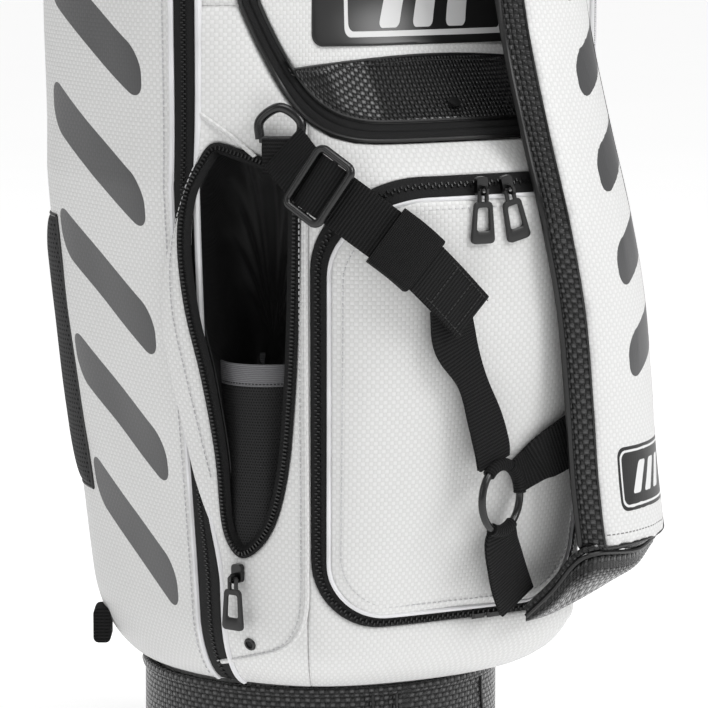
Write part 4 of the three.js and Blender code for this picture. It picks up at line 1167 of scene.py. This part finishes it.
def gusset_path():
    """The pad's edge from its front top, by its low end, to its back top: [across, z, out, out up]."""
    c = GUSSET["corner"]
    rows = [[0, z, -GUSSET["front"], 0] for z in np.linspace(PAD_TOP, PAD_LOW + GUSSET["corner"], 120)]
    for turn in np.radians(np.linspace(0, 90, 10)[1:]):
        reach = GUSSET["front"] * math.cos(turn), GUSSET["low"] * math.sin(turn)
        rows.append([c - c * math.cos(turn), PAD_LOW + c - c * math.sin(turn), -reach[0], -reach[1]])
    rows += [[u, PAD_LOW, 0, -GUSSET["low"]] for u in np.linspace(c + 2, PAD_WIDTH - c - 1, 36)]
    for turn in np.radians(np.linspace(0, 90, 10)):
        reach = GUSSET["back"] * math.sin(turn), GUSSET["low"] * math.cos(turn)
        place = PAD_WIDTH - c + c * math.sin(turn), PAD_LOW + c - c * math.cos(turn)
        rows.append([*place, reach[0], -reach[1]])
    rows += [[PAD_WIDTH, z, GUSSET["back"], 0] for z in np.linspace(PAD_LOW + c + 1, PAD_TOP, 120)]
    return np.array(rows)


def strap_edge():
    """The woven side band round the pad, its binding, and the mesh lining behind."""
    path = gusset_path()
    share = np.linspace(0, 1, 11)[:, None]
    swell = 2.2 * np.sin(np.pi * share)
    reach = np.linalg.norm(path[:, 2:], axis=1)
    out = path[:, 2:] / reach[:, None]
    u = path[:, 0] + path[:, 2] * share + out[:, 0] * swell
    z = path[:, 1] + path[:, 3] * share + out[:, 1] * swell
    points = pad_at(u, z, 0.3 + 13.4 * share)
    run = run_along(points[5])
    cloth = np.stack(np.broadcast_arrays(share * 19, run[None]), -1)
    band = Piece()
    band.grid(points, cloth)
    band.tube(points[-1], 2.3, 10, look=1)
    band.tube(points[0], 0.9, 6, look=1)
    band.make("strap_pad_gusset", "shoulder_strap", [CARBON, BLACK_PIPING])

    lining = Piece()
    turn = np.linspace(0, 2 * np.pi, 49)[:-1]
    bend = squared_off(np.cos(turn), 0.4)
    u = (PAD_WIDTH - 7) / 2 + (PAD_WIDTH + 15) / 2 * bend
    depth = 12.6 - 1.6 * np.sin(turn)
    rows = np.linspace(PAD_LOW - 2, PAD_TOP, 110)[:, None]
    points = pad_at(u[None], rows, depth[None])
    flat = np.stack(np.broadcast_arrays(u[None], rows - PAD_LOW), -1)
    lining.grid(points, flat, wrap=True)
    lining.make("strap_pad_lining", "shoulder_strap", [AIR_MESH], ["strap_pad_lining"])


def strap_flap():
    """The three-cornered woven panel that draws the pad's low end in to its webbing."""
    front = spline(FLAP_EDGE, 3.0)
    share = np.linspace(0, 1, len(front))[:, None]
    back = front[0] + (front[-1] - front[0]) * share + (6, 8, 0)
    height = 8 + 12 * np.sin(np.pi * share ** 0.8)
    turn = np.linspace(0, 2 * np.pi, 29)[:-1]
    side = squared_off(np.cos(turn), 0.5)[:, None, None]
    lift = squared_off(np.sin(turn), 0.5)[:, None, None]
    middle = (front + back) / 2 - (0, 0, 1) * height / 2
    points = middle + (front - back) / 2 * side + (0, 0, 0.5) * height * lift
    run = run_along(front)
    cloth = np.stack(np.broadcast_arrays(turn[:, None] * 15, run[None]), -1)
    points, cloth = np.moveaxis(points, 0, 1), np.moveaxis(cloth, 0, 1)
    ends = middle[[0, -1], None] + np.zeros((1, len(turn), 1))
    piece = Piece()
    points = np.concatenate([ends[:1], points, ends[1:]])
    piece.grid(points, np.concatenate([cloth[:1], cloth, cloth[-1:]]), wrap=True)
    piece.tube(front + (0, 0, 1.2), 2.5, 10, look=0)
    piece.tube(front + (-0.6, -1.4, -3.2), 1.7, 8, look=1)
    piece.make("strap_end_flap", "shoulder_strap", [CARBON, BLACK_PIPING],
               ["strap_end_flap"])


def web_frame(rows):
    """Unit vectors along, across and out of a ribbon from its [x, y, z, facing, width] rows."""
    along = unit(np.gradient(rows[:, :3], axis=0))
    azimuth = np.radians(rows[:, 3])
    out = np.stack([np.sin(azimuth), -np.cos(azimuth), 0 * azimuth], -1)
    side = unit(np.cross(along, out))
    return along, side, np.cross(side, along)


def ribbon(piece, route, lift=0.0, look=0, start=0.0, shrink=0.0):
    """Woven webbing along a route of [x, y, z, facing, width] rows, with rounded edges and cut ends."""
    rows = spline(route, 2.0)
    rows = rows[int(start * (len(rows) - 1)):]
    _, side, face = web_frame(rows)
    half = rows[:, 4] / 2 - shrink
    share = np.array([-1, -0.985, -0.93, -0.6, -0.2, 0.2, 0.6, 0.93, 0.985, 1])
    tall = np.array([0, 0.3, 0.45, 0.5, 0.5, 0.5, 0.5, 0.45, 0.3, 0])
    across = np.concatenate([share, share[-2:0:-1]])
    raised = np.concatenate([tall, -tall[-2:0:-1]]) * WEB_THICK
    lift = np.broadcast_to(lift, len(rows))[:, None, None]
    points = (rows[:, None, :3] + side[:, None] * (across[None, :, None] * half[:, None, None])
              + face[:, None] * (raised[None, :, None] + lift))
    run = run_along(rows[:, :3])
    cloth = np.stack(np.broadcast_arrays(across[None] * half[:, None], run[:, None]), -1)
    piece.grid(points, cloth, wrap=True, look=look)
    for end_row in (0, -1):
        piece.add(points[end_row], [list(range(len(across)))], cloth[end_row], look)
    return rows


def adjuster():
    """The adjuster's webbing with its sewn end, its tri-glide and its keeper."""
    route = [[*row, WEB_WIDTH] for row in ADJUST]
    webbing_piece = Piece()
    rows = ribbon(webbing_piece, route)
    ribbon(webbing_piece, route, lift=2.3, start=0.72, shrink=0.3)
    count = len(rows)
    bar = int(0.25 * count)
    over = rows[bar - 7:bar + 8]
    hump = 1.6 + 4.2 * np.sin(np.pi * np.linspace(0, 1, len(over))) ** 0.7
    _, side, face = web_frame(over)
    half = 19.0
    share = np.linspace(-1, 1, 9)
    points = over[:, None, :3] + side[:, None] * (share[:, None] * half) + face[:, None] * hump[:, None, None]
    under = points - face[:, None] * 1.5
    flat = np.stack(np.broadcast_arrays(share[None] * half, np.arange(len(over))[:, None] * 2.0), -1)
    closed = [np.concatenate([upper, lower[:, ::-1]], 1) for upper, lower in ((points, under), (flat, flat))]
    webbing_piece.grid(*closed, True)
    end = rows[int(0.80 * count):]
    along, side, face = web_frame(end)
    for shift in (-15.5, 15.5):
        line = end[:, :3] + side * shift + face * 3.6
        line = resample(line, 3.6)
        pick = np.linspace(0, len(end) - 1, len(line)).astype(int)
        axes = np.stack([along[pick], side[pick], face[pick]], 1)
        webbing_piece.blocks(line, axes, (2.4, 0.7, 0.5), 1)
    for pick in (2, len(end) // 2, len(end) - 4):
        shifts = np.arange(-14, 15, 3.6)
        line = end[pick, :3] + side[pick] * shifts[:, None] + face[pick] * 3.6
        axes = np.broadcast_to(np.stack([side[pick], along[pick], face[pick]]), (len(line), 3, 3))
        webbing_piece.blocks(line, axes, (2.4, 0.7, 0.5), 1)
    webbing_piece.make("adjuster_webbing", "shoulder_strap", [WEBBING, BLACK_THREAD],
                       ["adjuster_webbing"])

    glide = Piece()
    place = rows[bar]
    along, side, face = (v[bar] for v in web_frame(rows))
    path = rounded_path(22.8, 15.5, 5)
    loop = place[:3] + face * 4.4 + side * path[:, :1] + along * path[:, 1:]
    glide.tube(loop, 1.0, 14, True, 0, (2.9, 3.0), face)
    glide.tube([place[:3] + face * 2.6 + side * s for s in (-21, 0, 21)], 2.4, 10)
    glide.make("tri_glide", "shoulder_strap", [PLASTIC], ["tri_glide"])

    keeper = Piece()
    first, last = int(0.545 * count), int(0.72 * count)
    stretch = rows[first:last + 1]
    _, side, face = web_frame(stretch)
    loop = rounded_path(22.5, 5.4, 3.5)
    middle, side, face = stretch[:, None, :3], side[:, None], face[:, None]
    points = middle + side * loop[:, :1] + face * (loop[:, 1:] + 0.4)
    run = run_along(loop)
    flat = np.stack(np.broadcast_arrays(run[None], np.arange(len(stretch))[:, None] * 2.0), -1)
    inner = middle + side * loop[:, :1] * 0.94 + face * (loop[:, 1:] * 0.72 + 0.4)
    points = np.concatenate([inner[:1], points, inner[-1:]])
    keeper.grid(points, np.concatenate([flat[:1], flat, flat[-1:]]), wrap=True)
    keeper.make("webbing_keeper", "shoulder_strap", [FINE_WEBBING], ["webbing_keeper"])


def rounded_path(half_x, half_y, radius):
    """A closed rounded rectangle, as [x, y] rows."""
    turn = np.radians(np.linspace(0, 90, 8))
    rows = []
    for quarter, (sx, sy) in enumerate(((1, 1), (-1, 1), (-1, -1), (1, -1))):
        angle = turn + quarter * np.pi / 2
        rows.append(np.stack([sx * (half_x - radius) + radius * np.cos(angle),
                              sy * (half_y - radius) + radius * np.sin(angle)], -1))
    return np.concatenate(rows)


def ring_point(degrees):
    """Points of the O-ring's wire: 0 is its right side, 90 its top."""
    turn = np.radians(np.asarray(degrees, float))[..., None]
    across = outward(RING_FACING + 90)
    return np.array(RING_MIDDLE) + RING_R * (np.cos(turn) * across + np.sin(turn) * np.array([0, 0, 1]))


def strap_webs():
    ring = Piece()
    ring.tube(ring_point(np.arange(0, 360, 4)), 2.7, 12, True, up=outward(RING_FACING))
    ring.make("o_ring", "shoulder_strap", [PLASTIC], ["o_ring"])
    webs = (("ring_webbing_upper", RING_UPPER, (68, 130)), ("ring_webbing_right", RING_RIGHT, (2, 64)),
            ("ring_webbing_lower", RING_LOWER, (-118, -56)), ("upper_webbing", TOP_WEB, None))
    for name, route, wrapped in webs:
        piece = Piece()
        ribbon(piece, route)
        if wrapped:
            ribbon(piece, route, lift=-2.4, shrink=0.4)
            piece.tube(ring_point(np.linspace(*wrapped, 12)), 4.5, 12, up=outward(RING_FACING))
        piece.make(name, "shoulder_strap", [WEBBING], [name])


def anchors():
    ends = [LOWER_ANCHOR + outward(50) * s for s in (-14, 14)]
    route = [ends[0] + outward(-40), ends[0] + (0, 0, 13), LOWER_ANCHOR + (0, 0, 22), ends[1] + (0, 0, 13),
             ends[1] + outward(-40)]
    loop = Piece()
    loop.tube(spline(route, 2.0), 1.0, 12, up=outward(-40), squeeze=(3.4, 3.8))
    loop.tube([ends[0] + outward(-40) * 2, ends[1] + outward(-40) * 2], 2.6, 10)
    tab = [[*(LOWER_ANCHOR + outward(-40) * reach + (0, 0, drop)), -40, 24]
           for reach, drop in ((5, 1), (5.5, -7), (3.5, -16), (1, -24))]
    ribbon(loop, tab, look=1)
    loop.make("lower_anchor_loop", "bag", [PLASTIC, WEBBING], ["lower_anchor_loop"])


# ---- back of the bag ----
HIP_PAD = {"ends": (-146, -112), "low": 218, "high": 420}
TOWEL_ANGLE, TOWEL_MIDDLE, TOWEL_R = -72, 801, 17
UMBRELLA_ANGLE, UMBRELLA_CENTRE, UMBRELLA_R = 160, 156, 20


def back_pieces():
    spine = Piece()
    angle, z = field(154, 206, POCKET_LOW, 765, 4.0)
    panel(spine, angle, z, 128.5 - skin(angle, z), 2.5, hem=2.0)
    for edge in (155, 205):
        line = np.linspace(POCKET_LOW + 2, 763, 150)
        spine.tube(around(edge, 129.5, line), 1.8, 8, look=1)
    spine.make("spine_panel", "bag", [AIR_MESH, BLACK_PIPING], ["spine_panel"])

    pad = Piece()
    angle, z = field(*HIP_PAD["ends"], HIP_PAD["low"], HIP_PAD["high"])
    taper = rear_taper(angle, z, APPAREL_REAR["left"])
    panel(pad, angle, z, taper + 3.0, 5.0, hem=1.5)
    for row in (0, -1):
        for line in (np.stack([angle[row], z[row]], -1), np.stack([angle[:, row], z[:, row]], -1)):
            lift = rear_taper(line[:, 0], line[:, 1], APPAREL_REAR["left"]) + 2.0
            bead(pad, np.column_stack([line, lift]), 1.3, 1)
    made = pad.make("hip_pad", "bag", [AIR_MESH, BLACK_PIPING], ["hip_pad"])

    grip = Piece()
    share = np.linspace(0, 1, 70)
    line = np.stack([0 * share, 143 + 36 * np.sin(np.pi * share) ** 0.7, 500 + 190 * share], -1)
    line = np.concatenate([[(0, 143, 486)], line, [(0, 143, 704)]])
    grip.tube(line, 8.4, 20, up=(1, 0, 0))
    grip.tube(line + (0, 8.6, 0), 0.8, 6, look=1)
    grip.make("spine_grip", "spine_grip", [CARBON, BLACK_THREAD], ["spine_grip"])

    x, y, _ = around(UMBRELLA_ANGLE, UMBRELLA_CENTRE, 0.0)
    sleeve = Piece()
    r = UMBRELLA_R
    sleeve.lathe([(0, 104), (r, 104), (r, 326), (r + 1.2, 327), (r + 1.2, 330), (r - 2, 330),
                  (r - 2, 107), (0, 107)], x, y, 64)
    sleeve.make("umbrella_sleeve", "bag", [AIR_MESH], ["umbrella_sleeve"])

    ring = Piece()
    turn = np.radians(np.arange(0, 360, 5))[:, None]
    middle = around(TOWEL_ANGLE, 126.0, float(TOWEL_MIDDLE))
    path = middle + TOWEL_R * (np.cos(turn) * outward(TOWEL_ANGLE + 90) + np.sin(turn) * np.array([0, 0, 1]))
    ring.tube(path, 2.0, 12, True, up=outward(TOWEL_ANGLE))
    ring.make("towel_ring", "towel_ring", [METAL], ["towel_ring"])


# ---- zip pulls ----
ZIPS = {"left_apparel": (-57.5, 705, 0), "right_apparel": (57.5, 705, 0), "upper_pocket": (-44.6, 660, 0),
        "bottle_pocket": (-46.6, 184.5, 0), "centre_left": (-1.8, 459, 0), "centre_right": (3.2, 459, 14)}


def zip_frame(angle, z, lean):
    """A slider's place, and its unit vectors across, out and up."""
    chord = spot(angle + 1.0, z) - spot(angle - 1.0, z)
    out = outward(math.degrees(math.atan2(chord[1], chord[0])))
    level = np.cross(out, (0, 0, 1))
    tilt = math.radians(lean)
    across = level * math.cos(tilt) - np.array([0, 0, 1]) * math.sin(tilt)
    up = level * math.sin(tilt) + np.array([0, 0, 1]) * math.cos(tilt)
    return spot(angle, z, 0.5), across, out, up


def zip_pull(name, angle, z, lean):
    """A moulded pull: a slotted frame, wider at its low end, on two prongs and a pin."""
    place, across, out, up = zip_frame(angle, z, lean)
    outer, slot = rounded_path(8.4, 14.5, 3.4), rounded_path(5.0, 8.2, 2.0) + (0, 2.4)
    rings = []
    for share, rise in ((0.04, 0.3), (0.0, 0.8), (0.12, 1.3), (0.88, 1.3), (1.0, 0.8), (1.0, -0.8),
                        (0.88, -1.3), (0.12, -1.3), (0.0, -0.8), (0.04, 0.3)):
        flat = outer + (slot - outer) * share
        wide = flat[:, :1] * (1 - 0.010 * flat[:, 1:])
        rings.append(place + across * wide + up * (flat[:, 1:] - 25.2) + out * (8.4 + rise))
    piece = Piece()
    piece.grid(np.array(rings), None, wrap=True)
    for side in (-2.9, 2.9):
        prong = [place + across * side + out * 8.4 + up * drop for drop in (-3, -7, -11.5)]
        piece.tube(prong, 1.5, 10, up=out)
    pin = [place + across * side + out * 8.4 - up * 3 for side in (-3.4, 0, 3.4)]
    piece.tube(pin, 1.3, 12, up=up)
    piece.make(f"{name}_pull", f"{name}_pull", [PULL_PLASTIC], [f"{name}_pull"])


# ---- moulded pieces kept from the frame ----
def keep(name, material, edge=0.5):
    """Gives a frame piece its material and softened edges."""
    made = bpy.data.objects[name]
    made.data.materials.clear()
    made.data.materials.append(material)
    if edge:
        bevel = made.modifiers.new("edges", "BEVEL")
        bevel.width, bevel.segments, bevel.limit_method = edge * MM, 2, "ANGLE"
        bevel.angle_limit = math.radians(35)
        bevel.harden_normals = True


def kept_pieces():
    for name, place in ZIPS.items():
        keep(f"{name}_slider", METAL, 0.6)
        zip_pull(name, *place)
    keep("floor_pad", FOAM)
    keep("divider_grid", RUBBER, 1.0)
    keep("full_length_dividers", DIVIDER_CLOTH, 0.3)
    for name in ("towel_ring_tab", "spine_grip_upper_patch", "spine_grip_lower_patch", "rear_webbing_tab"):
        keep(name, WEBBING_SOLID, 1.2)
    keep("upper_anchor_loop", PLASTIC, 1.0)
    keep("snap_stud", METAL, 0.4)


def build_strap():
    strap_pad()
    strap_edge()
    strap_flap()
    adjuster()
    strap_webs()
    anchors()


# ---- camera, light and floor ----
# ---- camera, lights and floor ----
LENS = 207.56
CAMERA_TURN, CAMERA_DOWN = math.radians(-30), math.radians(7.7)
CAMERA_AWAY, CAMERA_ASIDE, CAMERA_HIGH = 3.0, 0.025, 0.72


def look_from():
    """A long lens to the front left of the bag, about chest high."""
    turn, down = CAMERA_TURN, CAMERA_DOWN
    right = Vector((math.cos(turn), math.sin(turn), 0))
    back = Vector((math.sin(turn), -math.cos(turn), 0))
    ahead = -back * math.cos(down) - Vector((0, 0, math.sin(down)))
    up = right.cross(ahead)
    camera = bpy.data.objects.new("camera", bpy.data.cameras.new("camera"))
    camera.data.lens = LENS
    camera.data.clip_end = 100
    place = back * CAMERA_AWAY + right * CAMERA_ASIDE + Vector((0, 0, CAMERA_HIGH))
    axes = Matrix((right, up, -ahead)).transposed().to_4x4()
    camera.matrix_world = Matrix.Translation(place) @ axes
    bpy.context.scene.collection.objects.link(camera)
    bpy.context.scene.camera = camera


def light(name, place, size, power):
    lamp = bpy.data.lights.new(name, "AREA")
    lamp.shape, lamp.size, lamp.size_y, lamp.energy = "RECTANGLE", *size, power
    made = bpy.data.objects.new(name, lamp)
    made.location = place
    made.rotation_euler = (Vector((0, 0, 0.4)) - Vector(place)).to_track_quat("-Z", "Y").to_euler()
    bpy.context.scene.collection.objects.link(made)


def studio():
    scene = bpy.context.scene
    scene.view_settings.view_transform = "Standard"
    world = bpy.data.worlds.new("studio")
    world.use_nodes = True
    world.node_tree.nodes["Background"].inputs["Color"].default_value = (1, 1, 1, 1)
    world.node_tree.nodes["Background"].inputs["Strength"].default_value = 0.38
    scene.world = world
    light("key", (1.6, -2.6, 2.4), (1.6, 1.6), 64)
    light("overhead", (-0.3, -0.9, 3.1), (1.8, 1.2), 31)
    light("left_strip", (-3.0, -0.8, 1.6), (0.5, 1.8), 10)
    mesh = bpy.data.meshes.new("floor")
    mesh.from_pydata([(-40, -40, 0), (40, -40, 0), (40, 40, 0), (-40, 40, 0)], [], [(0, 1, 2, 3)])
    floor = bpy.data.objects.new("floor", mesh)
    g = Graph("floor")
    dust = g.speckle(3.0)
    mesh.materials.append(g.finish({"Base Color": g.mix(dust, grey(0.72), grey(0.76)), "Roughness": 0.9,
                                    "Emission Color": grey(1), "Emission Strength": 0.66}))
    scene.collection.objects.link(floor)


look_from()
studio()
build_body()
build_strap()
back_pieces()
kept_pieces()
